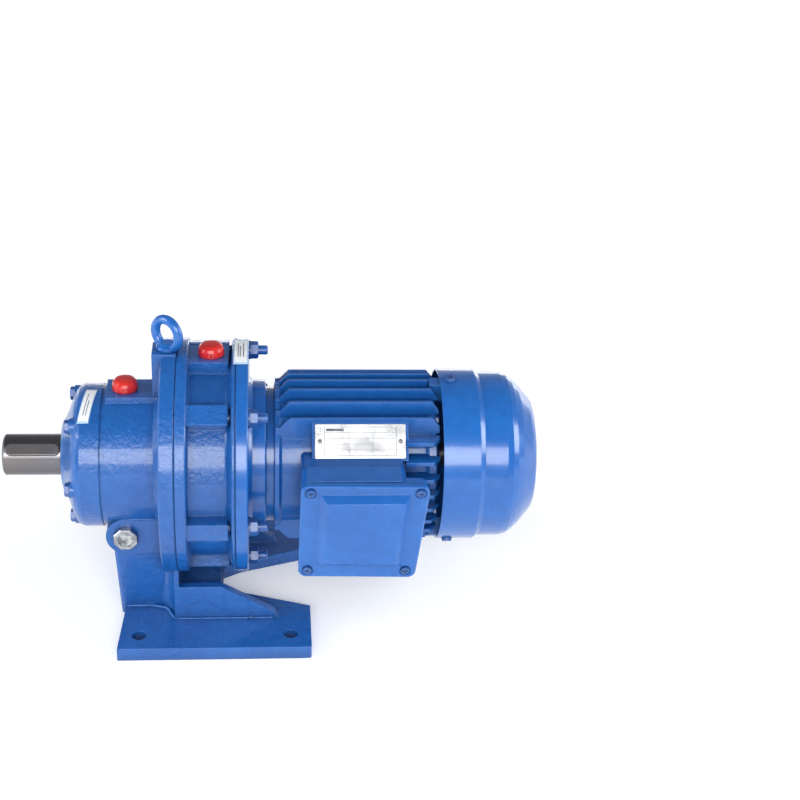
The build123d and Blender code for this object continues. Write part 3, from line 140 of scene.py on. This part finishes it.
# ---------------------------------------------------------------------------
# procedural materials
# ---------------------------------------------------------------------------
class Tree:
    """A small helper round a material's node tree."""

    def __init__(self, name):
        self.mat = bpy.data.materials.new(name)
        self.mat.use_nodes = True
        self.nt = self.mat.node_tree
        self.bsdf = self.nt.nodes["Principled BSDF"]
        self.coord = self.nt.nodes.new("ShaderNodeTexCoord")

    def new(self, kind, **values):
        n = self.nt.nodes.new(kind)
        for k, v in values.items():
            setattr(n, k, v)
        return n

    def link(self, a, b):
        self.nt.links.new(a, b)

    def mapped(self, scale=(1, 1, 1), rot=(0, 0, 0), loc=(0, 0, 0)):
        m = self.new("ShaderNodeMapping")
        m.inputs["Scale"].default_value = scale
        m.inputs["Rotation"].default_value = rot
        m.inputs["Location"].default_value = loc
        self.link(self.coord.outputs["Object"], m.inputs["Vector"])
        return m.outputs["Vector"]

    def noise(self, scale, detail=3.0, rough=0.5, vector=None, dist=0.0):
        n = self.new("ShaderNodeTexNoise")
        n.inputs["Scale"].default_value = scale
        n.inputs["Detail"].default_value = detail
        n.inputs["Roughness"].default_value = rough
        n.inputs["Distortion"].default_value = dist
        self.link(vector or self.coord.outputs["Object"], n.inputs["Vector"])
        return n.outputs["Fac"]

    def voronoi(self, scale, feature="F1", vector=None, rand=1.0):
        n = self.new("ShaderNodeTexVoronoi", feature=feature)
        n.inputs["Scale"].default_value = scale
        n.inputs["Randomness"].default_value = rand
        self.link(vector or self.coord.outputs["Object"], n.inputs["Vector"])
        return n.outputs["Distance"]

    def ramp(self, fac, stops):
        r = self.new("ShaderNodeValToRGB")
        els = r.color_ramp.elements
        while len(els) > 1:
            els.remove(els[-1])
        for i, (p, c) in enumerate(stops):
            e = els[0] if i == 0 else els.new(p)
            e.position = p
            e.color = (c, c, c, 1) if isinstance(c, (int, float)) else (*c, 1)
        self.link(fac, r.inputs["Fac"])
        return r.outputs["Color"]

    def mix(self, fac, a, b, blend="MIX"):
        m = self.new("ShaderNodeMix", data_type="RGBA", blend_type=blend)
        if isinstance(fac, (int, float)):
            m.inputs["Factor"].default_value = fac
        else:
            self.link(fac, m.inputs["Factor"])
        for sock, v in ((m.inputs["A"], a), (m.inputs["B"], b)):
            if isinstance(v, tuple):
                sock.default_value = (*v, 1) if len(v) == 3 else v
            else:
                self.link(v, sock)
        return m.outputs["Result"]

    def math(self, op, a, b=None, clamp=False):
        m = self.new("ShaderNodeMath", operation=op)
        m.use_clamp = clamp
        for i, v in enumerate((a, b)):
            if v is None:
                continue
            if isinstance(v, (int, float)):
                m.inputs[i].default_value = v
            else:
                self.link(v, m.inputs[i])
        return m.outputs[0]

    def edge(self, radius, lo=0.02, hi=0.30):
        """1 along convex and concave edges, 0 on plain surfaces."""
        bev = self.new("ShaderNodeBevel", samples=6)
        bev.inputs["Radius"].default_value = radius
        geo = self.new("ShaderNodeNewGeometry")
        dot = self.new("ShaderNodeVectorMath", operation="DOT_PRODUCT")
        self.link(bev.outputs["Normal"], dot.inputs[0])
        self.link(geo.outputs["Normal"], dot.inputs[1])
        mr = self.new("ShaderNodeMapRange")
        mr.inputs["From Min"].default_value = 1.0 - lo
        mr.inputs["From Max"].default_value = 1.0 - hi
        self.link(dot.outputs["Value"], mr.inputs["Value"])
        return mr.outputs["Result"]

    def cavity(self, distance):
        """Light reaching the surface from close by, 1 in the open and 0 in corners."""
        ao = self.new("ShaderNodeAmbientOcclusion", samples=6)
        ao.inputs["Distance"].default_value = distance
        return ao.outputs["AO"]

    def bump(self, height, distance, strength=1.0, normal=None):
        b = self.new("ShaderNodeBump")
        b.inputs["Strength"].default_value = strength
        b.inputs["Distance"].default_value = distance
        self.link(height, b.inputs["Height"])
        if normal is not None:
            self.link(normal, b.inputs["Normal"])
        return b.outputs["Normal"]

    def rounded(self, radius):
        bev = self.new("ShaderNodeBevel", samples=6)
        bev.inputs["Radius"].default_value = radius
        return bev.outputs["Normal"]

    def out(self, color=None, rough=None, normal=None):
        for v, name in ((color, "Base Color"), (rough, "Roughness"), (normal, "Normal")):
            if v is None:
                continue
            if isinstance(v, (int, float)):
                self.bsdf.inputs[name].default_value = v
            elif isinstance(v, tuple):
                self.bsdf.inputs[name].default_value = (*v, 1)
            else:
                self.link(v, self.bsdf.inputs[name])
        return self.mat


BLUE = (0.008, 0.090, 0.345)
BLUE_DEEP = (0.004, 0.050, 0.215)
BLUE_PALE = (0.018, 0.150, 0.480)


def paint(name, grain, rough=(0.26, 0.40), coat=0.35, round_r=0.0009, tint=1.0):
    """Blue enamel.  grain 0 is smooth sheet, 1 is a rough sand casting."""
    t = Tree(name)
    base = tuple(c * tint for c in BLUE)
    deep = tuple(c * tint for c in BLUE_DEEP)
    pale = tuple(c * tint for c in BLUE_PALE)
    # slow cloudy change of colour, then finer mottling
    slow = t.ramp(t.noise(9, 3, 0.55), [(0.35, 0.0), (0.68, 1.0)])
    col = t.mix(t.math("MULTIPLY", slow, 0.45), base, pale)
    mott = t.ramp(t.noise(120, 4, 0.6), [(0.42, 0.0), (0.62, 1.0)])
    col = t.mix(t.math("MULTIPLY", mott, 0.22), col, deep)
    # painted shade: the colour is darkened in the corners and crevices from ambient occlusion
    ao_shade = t.math("SUBTRACT", 1.0, t.cavity(0.012), clamp=True)
    col = t.mix(t.math("MULTIPLY", ao_shade, 0.75), col, tuple(c * 0.45 for c in deep))
    # thin, paler paint on the edges, and a few chips
    edge = t.edge(0.0011)
    col = t.mix(t.math("MULTIPLY", edge, 0.35), col, tuple(min(1, c * 1.6) for c in pale))
    chips = t.ramp(t.noise(330, 3, 0.65), [(0.63, 0.0), (0.66, 1.0)])
    chip = t.math("MULTIPLY", t.math("MULTIPLY", edge, chips), 0.8, clamp=True)
    col = t.mix(chip, col, (0.12, 0.13, 0.15))
    # dust freckles
    dust = t.ramp(t.voronoi(260), [(0.0, 1.0), (0.05, 1.0), (0.09, 0.0)])
    keep = t.ramp(t.noise(36, 2, 0.5), [(0.55, 0.0), (0.66, 1.0)])
    col = t.mix(t.math("MULTIPLY", t.math("MULTIPLY", dust, keep), 0.25), col, (0.35, 0.42, 0.55))
    r = t.new("ShaderNodeMapRange")
    r.inputs["To Min"].default_value, r.inputs["To Max"].default_value = rough
    t.link(t.noise(48, 4, 0.6), r.inputs["Value"])
    nrm = t.rounded(round_r)
    wave = t.noise(40, 2, 0.5)
    nrm = t.bump(wave, 0.0006 + 0.0010 * grain, 0.5, nrm)
    if grain > 0:
        lumps = t.noise(250, 3, 0.55, dist=0.4)
        nrm = t.bump(lumps, 0.0016 * grain, 0.55, nrm)
        pits = t.ramp(t.voronoi(420), [(0.0, 0.0), (0.30, 1.0)])
        nrm = t.bump(pits, 0.00022 * grain, 0.6, nrm)
    peel = t.noise(900, 2, 0.5)
    nrm = t.bump(peel, 0.00006, 0.5, nrm)
    t.bsdf.inputs["Coat Weight"].default_value = coat
    t.bsdf.inputs["Coat Roughness"].default_value = 0.10
    t.bsdf.inputs["IOR"].default_value = 1.44
    return t.out(col, r.outputs["Result"], nrm)


def turned_steel(name, base=(0.50, 0.50, 0.51), rough=(0.20, 0.34), oil=0.35, lines=2600.0):
    """Steel ground round the shaft line (X): fine rings, handling stains, a little oil film."""
    t = Tree(name)
    rings = t.noise(1.0, 4, 0.7, t.mapped((lines, 6, 6)))
    coarse = t.noise(1.0, 2, 0.5, t.mapped((420, 3, 3)))
    stain = t.ramp(t.noise(38, 5, 0.6), [(0.40, 0.0), (0.70, 1.0)])
    col = t.mix(t.math("MULTIPLY", rings, 0.4), base, tuple(c * 0.70 for c in base))
    col = t.mix(t.math("MULTIPLY", stain, oil), col, (0.22, 0.19, 0.16))
    edge = t.edge(0.0006)
    col = t.mix(t.math("MULTIPLY", edge, 0.5), col, (0.80, 0.80, 0.80))
    r = t.new("ShaderNodeMapRange")
    r.inputs["To Min"].default_value, r.inputs["To Max"].default_value = rough
    t.link(t.noise(60, 4, 0.6), r.inputs["Value"])
    nrm = t.rounded(0.0004)
    nrm = t.bump(rings, 0.00002, 0.6, nrm)
    nrm = t.bump(coarse, 0.00003, 0.4, nrm)
    t.bsdf.inputs["Metallic"].default_value = 1.0
    return t.out(col, r.outputs["Result"], nrm)


def plain_steel(name, base=(0.33, 0.34, 0.36), rough=(0.28, 0.45), rust=0.10):
    t = Tree(name)
    n = t.ramp(t.noise(160, 4, 0.6), [(0.35, 0.0), (0.70, 1.0)])
    col = t.mix(t.math("MULTIPLY", n, 0.5), base, tuple(c * 0.55 for c in base))
    # painted shade: darkened almost to black in the corners and crevices from ambient occlusion
    ao_shade = t.math("SUBTRACT", 1.0, t.cavity(0.004), clamp=True)
    col = t.mix(t.math("MULTIPLY", ao_shade, 0.8), col, (0.03, 0.03, 0.035))
    spots = t.ramp(t.noise(420, 4, 0.7), [(0.62, 0.0), (0.74, 1.0)])
    col = t.mix(t.math("MULTIPLY", spots, rust), col, (0.20, 0.09, 0.04))
    edge = t.edge(0.0005)
    col = t.mix(t.math("MULTIPLY", edge, 0.4), col, (0.62, 0.62, 0.63))
    r = t.new("ShaderNodeMapRange")
    r.inputs["To Min"].default_value, r.inputs["To Max"].default_value = rough
    t.link(t.noise(90, 3, 0.6), r.inputs["Value"])
    nrm = t.bump(t.noise(700, 3, 0.6), 0.00008, 0.5, t.rounded(0.0004))
    t.bsdf.inputs["Metallic"].default_value = 1.0
    return t.out(col, r.outputs["Result"], nrm)


def painted_steel(name):
    """Blue paint over steel hardware, worn to grey along the corners."""
    t = Tree(name)
    n = t.ramp(t.noise(140, 3, 0.6), [(0.35, 0.0), (0.70, 1.0)])
    col = t.mix(t.math("MULTIPLY", n, 0.4), BLUE, BLUE_DEEP)
    # painted shade: darker in the corners and crevices from ambient occlusion
    ao_shade = t.math("SUBTRACT", 1.0, t.cavity(0.004), clamp=True)
    col = t.mix(t.math("MULTIPLY", ao_shade, 0.8), col, (0.006, 0.02, 0.09))
    worn = t.ramp(t.noise(300, 4, 0.65), [(0.48, 0.0), (0.56, 1.0)])
    worn = t.math("MULTIPLY", worn, t.math("ADD", t.math("MULTIPLY", t.edge(0.0007), 0.9), 0.06), clamp=True)
    col = t.mix(worn, col, (0.20, 0.20, 0.21))
    nrm = t.bump(t.noise(500, 3, 0.6), 0.00012, 0.5, t.rounded(0.0004))
    t.bsdf.inputs["Coat Weight"].default_value = 0.3
    t.bsdf.inputs["Coat Roughness"].default_value = 0.15
    r = t.ramp(t.noise(120, 3, 0.5), [(0.3, 0.28), (0.7, 0.46)])
    return t.out(col, r, nrm)


def rubber(name, base=(0.018, 0.018, 0.020)):
    t = Tree(name)
    col = t.mix(t.ramp(t.noise(90, 4, 0.6), [(0.3, 0.0), (0.75, 1.0)]), base, tuple(c * 2.2 + 0.006 for c in base))
    nrm = t.bump(t.noise(900, 3, 0.6), 0.00006, 0.6, t.rounded(0.0004))
    r = t.ramp(t.noise(60, 3, 0.5), [(0.3, 0.50), (0.7, 0.72)])
    return t.out(col, r, nrm)


def gasket(name):
    t = Tree(name)
    col = t.mix(t.noise(300, 4, 0.7), (0.010, 0.030, 0.110), (0.030, 0.060, 0.140))
    nrm = t.bump(t.noise(700, 3, 0.6), 0.0001, 0.5)
    return t.out(col, 0.7, nrm)


def red_plastic(name):
    t = Tree(name)
    slow = t.ramp(t.noise(70, 3, 0.5), [(0.35, 0.0), (0.7, 1.0)])
    col = t.mix(slow, (0.50, 0.010, 0.012), (0.66, 0.030, 0.022))
    # painted shade: darker in the corners and crevices from ambient occlusion
    ao_shade = t.math("SUBTRACT", 1.0, t.cavity(0.004), clamp=True)
    col = t.mix(t.math("MULTIPLY", ao_shade, 0.6), col, (0.12, 0.004, 0.004))
    nrm = t.bump(t.noise(240, 2, 0.5), 0.0002, 0.5, t.rounded(0.0006))
    r = t.ramp(t.noise(160, 3, 0.5), [(0.3, 0.20), (0.7, 0.34)])
    t.bsdf.inputs["Coat Weight"].default_value = 0.3
    t.bsdf.inputs["Coat Roughness"].default_value = 0.12
    return t.out(col, r, nrm)


def black_plastic(name, base=(0.016, 0.016, 0.018), rough=(0.32, 0.48)):
    t = Tree(name)
    col = t.mix(t.noise(80, 4, 0.6), base, tuple(c * 1.8 for c in base))
    nrm = t.bump(t.noise(1100, 2, 0.5), 0.00004, 0.5, t.rounded(0.0005))
    r = t.ramp(t.noise(90, 3, 0.5), [(0.3, rough[0]), (0.7, rough[1])])
    return t.out(col, r, nrm)


def chrome(name):
    t = Tree(name)
    col = t.mix(t.ramp(t.noise(150, 4, 0.6), [(0.4, 0.0), (0.75, 1.0)]), (0.46, 0.47, 0.50), (0.16, 0.17, 0.20))
    # painted shade: darker in the corners and crevices from ambient occlusion
    ao_shade = t.math("SUBTRACT", 1.0, t.cavity(0.003), clamp=True)
    col = t.mix(t.math("MULTIPLY", ao_shade, 0.7), col, (0.10, 0.11, 0.13))
    nrm = t.bump(t.noise(420, 3, 0.6), 0.00005, 0.5, t.rounded(0.0006))
    r = t.ramp(t.noise(90, 3, 0.5), [(0.3, 0.06), (0.7, 0.18)])
    t.bsdf.inputs["Metallic"].default_value = 1.0
    return t.out(col, r, nrm)


def lens_glass(name):
    t = Tree(name)
    col = t.mix(t.ramp(t.noise(260, 2, 0.5), [(0.40, 0.0), (0.60, 1.0)]), (0.16, 0.18, 0.20), (0.62, 0.66, 0.66))
    t.bsdf.inputs["Transmission Weight"].default_value = 0.30
    t.bsdf.inputs["IOR"].default_value = 1.48
    nrm = t.bump(t.noise(140, 2, 0.5), 0.00005, 0.5, t.rounded(0.0005))
    return t.out(col, t.ramp(t.noise(60, 2, 0.5), [(0.3, 0.05), (0.7, 0.14)]), nrm)


def alu_plate(name):
    """Satin etched aluminium sheet."""
    t = Tree(name)
    brushed = t.noise(1.0, 3, 0.6, t.mapped((40, 2600, 2600)))
    col = t.mix(t.math("MULTIPLY", brushed, 0.4), (0.86, 0.87, 0.88), (0.62, 0.63, 0.66))
    nrm = t.bump(brushed, 0.00001, 0.5, t.rounded(0.0003))
    t.bsdf.inputs["Metallic"].default_value = 0.85
    return t.out(col, t.ramp(t.noise(60, 3, 0.5), [(0.3, 0.22), (0.7, 0.36)]), nrm)


def laminated(name):
    t = Tree(name)
    lam = t.noise(1.0, 1, 0.5, t.mapped((2000, 1, 1)))
    col = t.mix(lam, (0.20, 0.20, 0.21), (0.32, 0.32, 0.33))
    t.bsdf.inputs["Metallic"].default_value = 0.9
    return t.out(col, 0.45, t.bump(lam, 0.0001, 0.5))


def copper(name):
    t = Tree(name)
    wires = t.noise(1.0, 2, 0.5, t.mapped((1400, 40, 40)))
    col = t.mix(wires, (0.30, 0.07, 0.02), (0.62, 0.22, 0.07))
    t.bsdf.inputs["Metallic"].default_value = 0.8
    return t.out(col, 0.32, t.bump(wires, 0.0003, 0.7))


def brass(name):
    t = Tree(name)
    col = t.mix(t.noise(200, 3, 0.6), (0.62, 0.44, 0.17), (0.42, 0.28, 0.10))
    t.bsdf.inputs["Metallic"].default_value = 1.0
    return t.out(col, t.ramp(t.noise(90, 3, 0.5), [(0.3, 0.22), (0.7, 0.38)]), t.bump(t.noise(500, 2, 0.5), 0.00005, 0.5))


def bakelite(name):
    t = Tree(name)
    col = t.mix(t.noise(240, 4, 0.7), (0.11, 0.045, 0.02), (0.18, 0.08, 0.04))
    return t.out(col, 0.35, t.bump(t.noise(600, 2, 0.5), 0.00005, 0.5, t.rounded(0.0005)))


MATS = {
    "cast_blue": paint("cast_blue", 1.0, (0.22, 0.38), 0.45, 0.0016),
    "smooth_blue": paint("smooth_blue", 0.0, (0.18, 0.30), 0.45, 0.0012, 1.12),
    "frame_blue": paint("frame_blue", 0.30, (0.24, 0.38), 0.35, 0.0010, 1.04),
    # shaft_steel: its dark base colour is painted reflection, standing in for the dark surroundings the shaft reflects
    "shaft_steel": turned_steel("shaft_steel", (0.20, 0.195, 0.215), (0.24, 0.38), 0.5),
    "bolt_steel": plain_steel("bolt_steel", (0.26, 0.26, 0.27), (0.28, 0.45)),
    "bolt_blue": painted_steel("bolt_blue"),
    "bearing_steel": plain_steel("bearing_steel", (0.55, 0.55, 0.56), (0.16, 0.28), 0.0),
    "core_steel": laminated("core_steel"),
    "copper": copper("copper"),
    "seal_rubber": rubber("seal_rubber"),
    "gasket_paper": gasket("gasket_paper"),
    "plug_red": red_plastic("plug_red"),
    "bezel_chrome": chrome("bezel_chrome"),
    "sight_lens": lens_glass("sight_lens"),
    "fan_black": black_plastic("fan_black"),
    "gland_black": black_plastic("gland_black", (0.012, 0.012, 0.013), (0.25, 0.4)),
    "plate_alu": alu_plate("plate_alu"),
    "board_plastic": bakelite("board_plastic"),
    "brass_stud": brass("brass_stud"),
}


def dress_cad():
    slot_of = {s["node"]: s["material_slot"] for s in frame["record"]["subparts"]}
    for name in ("tie_nuts", "tie_washers", "tie_studs", "lid_screws", "fan_cover_screws", "rear_shield_bolts"):
        slot_of[name] = "bolt_blue"
    for name, ob in N.items():
        mat = MATS[slot_of[name]]
        if len(ob.material_slots) == 0:
            ob.data.materials.append(mat)
        for s in ob.material_slots:
            s.link = "OBJECT"
            s.material = mat


# ---------------------------------------------------------------------------
# small pieces that the bare model does not carry
# ---------------------------------------------------------------------------
def add_piece(name, verts, faces, mats, face_mats=None, smooth=True, body="housing"):
    me = bpy.data.meshes.new(name)
    me.from_pydata(verts, [], faces)
    for m in mats:
        me.materials.append(m)
    for i, poly in enumerate(me.polygons):
        poly.use_smooth = smooth
        if face_mats:
            poly.material_index = face_mats[i]
    me.validate()
    bm = bmesh.new()
    bm.from_mesh(me)
    bmesh.ops.recalc_face_normals(bm, faces=bm.faces)
    bm.to_mesh(me)
    bm.free()
    ob = bpy.data.objects.new(name, me)
    scene.collection.objects.link(ob)
    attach(ob, body)
    return ob


def bead(name, path, radius, mat, seed, pitch=0.0016, sides=10):
    """Irregular weld or paint bead along a polyline, with ripples and tapered ends."""
    rnd = random.Random(seed)
    pts = []
    for a, b in zip(path[:-1], path[1:]):
        a, b = Vector(a), Vector(b)
        n = max(2, int((b - a).length / (pitch / 4)))
        pts += [a.lerp(b, i / n) for i in range(n)]
    pts.append(Vector(path[-1]))
    verts, faces = [], []
    total = len(pts)
    for i, p in enumerate(pts):
        t = (pts[min(i + 1, total - 1)] - pts[max(i - 1, 0)]).normalized()
        u = t.orthogonal().normalized()
        w = t.cross(u)
        end = min(i, total - 1 - i)
        k = radius * min(1.0, 0.25 + end / 10.0)
        k *= 0.86 + 0.10 * math.sin(i * math.pi / 2) + 0.22 * noise.noise(p * 260 + Vector((seed, 0, 0)))
        for j in range(sides):
            a = 2 * math.pi * j / sides
            r = k * (1 + 0.10 * noise.noise(Vector((p.x * 500, p.y * 500, a * 2 + seed))))
            verts.append(p + (u * math.cos(a) + w * math.sin(a)) * r)
    for i in range(total - 1):
        for j in range(sides):
            a, b = i * sides + j, i * sides + (j + 1) % sides
            faces.append((a, b, b + sides, a + sides))
    faces.append(tuple(range(sides))[::-1])
    faces.append(tuple((total - 1) * sides + j for j in range(sides)))
    return add_piece(name, [tuple(v) for v in verts], faces, [mat])


def wrap_label(name, x0, x1, a0, a1, r_of_x, thick, mats, border, skew=0.0, bars=()):
    """Thin label lying on a turned surface.  Angles in degrees from the front, up."""
    nx, na = 14, 22
    verts, faces, fm = [], [], []
    for layer in (0.00003, thick):
        for i in range(nx + 1):
            for j in range(na + 1):
                x = x0 + (x1 - x0) * i / nx + skew * (1 - j / na)
                ang = math.radians(a0 + (a1 - a0) * j / na)
                r = r_of_x(x) + layer
                verts.append((x, -r * math.cos(ang), H + r * math.sin(ang)))
    base = (nx + 1) * (na + 1)
    idx = lambda l, i, j: l * base + i * (na + 1) + j
    bi = max(1, round(border * nx))
    bj = max(1, round(border * na * 0.6))
    for i in range(nx):
        for j in range(na):
            rim = i < bi or i >= nx - bi or j < bj or j >= na - bj
            faces.append((idx(1, i, j), idx(1, i + 1, j), idx(1, i + 1, j + 1), idx(1, i, j + 1)))
            bar = any(i == bi_ and j0 <= j < j1 for bi_, j0, j1 in bars)
            fm.append(1 if rim else 2 if bar else 0)
            faces.append((idx(0, i, j), idx(0, i, j + 1), idx(0, i + 1, j + 1), idx(0, i + 1, j)))
            fm.append(0)
    for i in range(nx):
        for j in (0, na):
            faces.append((idx(0, i, j), idx(0, i + 1, j), idx(1, i + 1, j), idx(1, i, j)))
            fm.append(0)
    for j in range(na):
        for i in (0, nx):
            faces.append((idx(0, i, j), idx(0, i, j + 1), idx(1, i, j + 1), idx(1, i, j)))
            fm.append(0)
    return add_piece(name, verts, faces, mats, fm)


def seam_fill(name, x0, x1, r, depth, mat, seed, body="housing"):
    """Paint and sealant standing in the joint between two turned pieces."""
    n = 220
    prof = ((x0, r - depth), (x0, r - 0.00012), ((x0 + x1) / 2, r + 0.00004), (x1, r - 0.00012), (x1, r - depth))
    verts, faces = [], []
    for i in range(n):
        a = 2 * math.pi * i / n
        k = 0.00010 * noise.noise(Vector((math.cos(a) * 9, math.sin(a) * 9, seed)))
        for j, (x, rr) in enumerate(prof):
            rr = rr + (k if 0 < j < 4 else 0)
            verts.append((x, -rr * math.cos(a), H + rr * math.sin(a)))
    m = len(prof)
    for i in range(n):
        for j in range(m):
            a, b = i * m + j, i * m + (j + 1) % m
            c, d = ((i + 1) % n) * m + (j + 1) % m, ((i + 1) % n) * m + j
            faces.append((a, b, c, d))
    return add_piece(name, verts, faces, [mat], body=body)


def label_paper(name, a, b):
    t = Tree(name)
    col = t.mix(t.ramp(t.noise(240, 4, 0.6), [(0.35, 0.0), (0.7, 1.0)]), a, b)
    smut = t.ramp(t.noise(520, 3, 0.7), [(0.66, 0.0), (0.74, 1.0)])
    col = t.mix(t.math("MULTIPLY", smut, 0.35), col, (0.30, 0.33, 0.38))
    return t.out(col, t.ramp(t.noise(120, 2, 0.5), [(0.3, 0.30), (0.7, 0.45)]), t.bump(t.noise(300, 2, 0.5), 0.00008, 0.6))


PLATE_A = math.radians(39.0)


def plate_details():
    """Rivets and blank printed fields of the rating plate, laid on the plate's own front face."""
    me = N["nameplate"].data
    best = max(me.polygons, key=lambda q: q.area)
    n = best.normal.copy()
    if n.z < 0:
        n = -n
    pts = [v.co for v in me.vertices]
    top = max(p.dot(n) for p in pts)
    u = Vector((1, 0, 0))
    w = n.cross(u).normalized()
    if w.z < 0:
        w = -w
    us = [p.dot(u) for p in pts]
    ws = [p.dot(w) for p in pts]
    uc, wc = (min(us) + max(us)) / 2, (min(ws) + max(ws)) / 2
    L, W = max(us) - min(us), max(ws) - min(ws)
    at = lambda a, b, h: tuple(u * (uc + a) + w * (wc + b) + n * (top + h))
    verts, faces = [], []
    # rivet heads
    for side in (-1, 1):
        cx = side * (L / 2 - 0.004)
        base = len(verts)
        rings = [(1.9, -0.5), (1.9, 0.1), (1.6, 0.55), (1.0, 0.85), (0.4, 0.95)]
        for r, h in rings:
            for j in range(20):
                a = 2 * math.pi * j / 20
                verts.append(at(cx + r * MM * math.cos(a), r * MM * math.sin(a), h * MM))
        for k in range(len(rings) - 1):
            for j in range(20):
                a, b = base + k * 20 + j, base + k * 20 + (j + 1) % 20
                faces.append((a, b, b + 20, a + 20))
        faces.append(tuple(base + 80 + j for j in range(20)))
        faces.append(tuple(base + j for j in range(20))[::-1])
    add_piece("nameplate_rivets", verts, faces, [MATS["bolt_steel"]])
    # printed frame, rules and blank boxes
    verts, faces = [], []

    def bar(a0, b0, a1, b1, h=0.00007):
        base = len(verts)
        for hh in (-0.00002, h):
            for a, b in ((a0, b0), (a1, b0), (a1, b1), (a0, b1)):
                verts.append(at(a, b, hh))
        for f in ((4, 5, 6, 7), (0, 1, 5, 4), (1, 2, 6, 5), (2, 3, 7, 6), (3, 0, 4, 7), (3, 2, 1, 0)):
            faces.append(tuple(base + i for i in f))

    t = 0.00035
    x0, x1, z0, z1 = -L / 2 + 0.0075, L / 2 - 0.0075, -W / 2 + 0.0022, W / 2 - 0.0022
    bar(x0, z0, x1, z0 + t)
    bar(x0, z1 - t, x1, z1)
    bar(x0, z0, x0 + t, z1)
    bar(x1 - t, z0, x1, z1)
    rows = 5
    for k in range(1, rows):
        z = z0 + (z1 - z0) * k / rows
        bar(x0, z, x1, z + t * 0.8)
    for k, f in enumerate((0.34, 0.67)):
        x = x0 + (x1 - x0) * f
        bar(x, z0, x + t * 0.8, z1 - (z1 - z0) / rows)
    bar(x0 + 0.0015, z1 - (z1 - z0) / rows + 0.0012, x0 + 0.016, z1 - 0.0014)
    add_piece("nameplate_print", verts, faces, [PRINT])


def cover_radius(x):
    if x > -0.1095:
        return 0.0611
    if x > -0.1126:
        return 0.0599 + (x + 0.1126) * 1.2 / 3.1
    return 0.0573 + (x + 0.1154) * 2.6 / 2.8


def trim_pieces():
    bead("weld_pillar_foot", [(-0.0775, -0.0428, 0.0124), (-0.055, -0.0430, 0.0125), (-0.042, -0.0470, 0.0124),
                              (-0.0352, -0.0618, 0.0122)], 0.0019, MATS["smooth_blue"], 3)
    bead("weld_web_foot", [(-0.034, -0.0622, 0.0122), (0.052, -0.0622, 0.0122)], 0.0014, MATS["cast_blue"], 5)
    bead("weld_web_foot_far", [(-0.034, 0.0622, 0.0122), (0.052, 0.0622, 0.0122)], 0.0014, MATS["cast_blue"], 6)
    bead("weld_pillar_far", [(-0.0775, 0.0428, 0.0124), (-0.055, 0.0430, 0.0125), (-0.042, 0.0470, 0.0124),
                             (-0.0352, 0.0618, 0.0122)], 0.0019, MATS["smooth_blue"], 4)
    wrap_label("label_flange", 0.0160, 0.0282, 77.5, 103.4, lambda x: 0.1001, 0.00018, [PAPER, PAPER_EDGE, PRINT], 0.10,
               bars=((4, 5, 17), (6, 5, 14), (9, 5, 17)))
    wrap_label("label_cover", -0.1066, -0.0971, 54.6, 92.5, cover_radius, 0.00018, [PAPER, PAPER_EDGE, PRINT], 0.10, -0.0052,
               bars=((5, 4, 18), (8, 4, 13)))
    plate_details()
    for k, (x, y) in enumerate(((0.0300, -0.0634), (0.0505, -0.0634))):
        bead("weld_tick_%d" % k, [(x - 0.0022, y - 0.0004, 0.0124), (x + 0.0004, y, 0.0150), (x + 0.0014, y + 0.0004, 0.0178)],
             0.0009, MATS["smooth_blue"], 21 + k)
    seam_fill("seam_cover", -0.0936, -0.0929, 0.0603, 0.0012, MATS["cast_blue"], 11)
    bead("weld_ledge", [(-0.0740, -0.0499, 0.1058), (-0.0455, -0.0499, 0.1058)], 0.0012, MATS["smooth_blue"], 9)


PAPER = label_paper("label_paper", (0.86, 0.87, 0.88), (0.74, 0.77, 0.80))
PAPER_EDGE = label_paper("label_edge", (0.36, 0.56, 0.80), (0.30, 0.48, 0.72))
PRINT = label_paper("plate_print", (0.10, 0.11, 0.13), (0.20, 0.21, 0.23))

make_camera()
make_floor()
make_light()
dress_cad()
trim_pieces()

scene.view_settings.view_transform = "Standard"
scene.view_settings.look = "None"
scene.view_settings.exposure = 0.0
scene.view_settings.gamma = 1.0
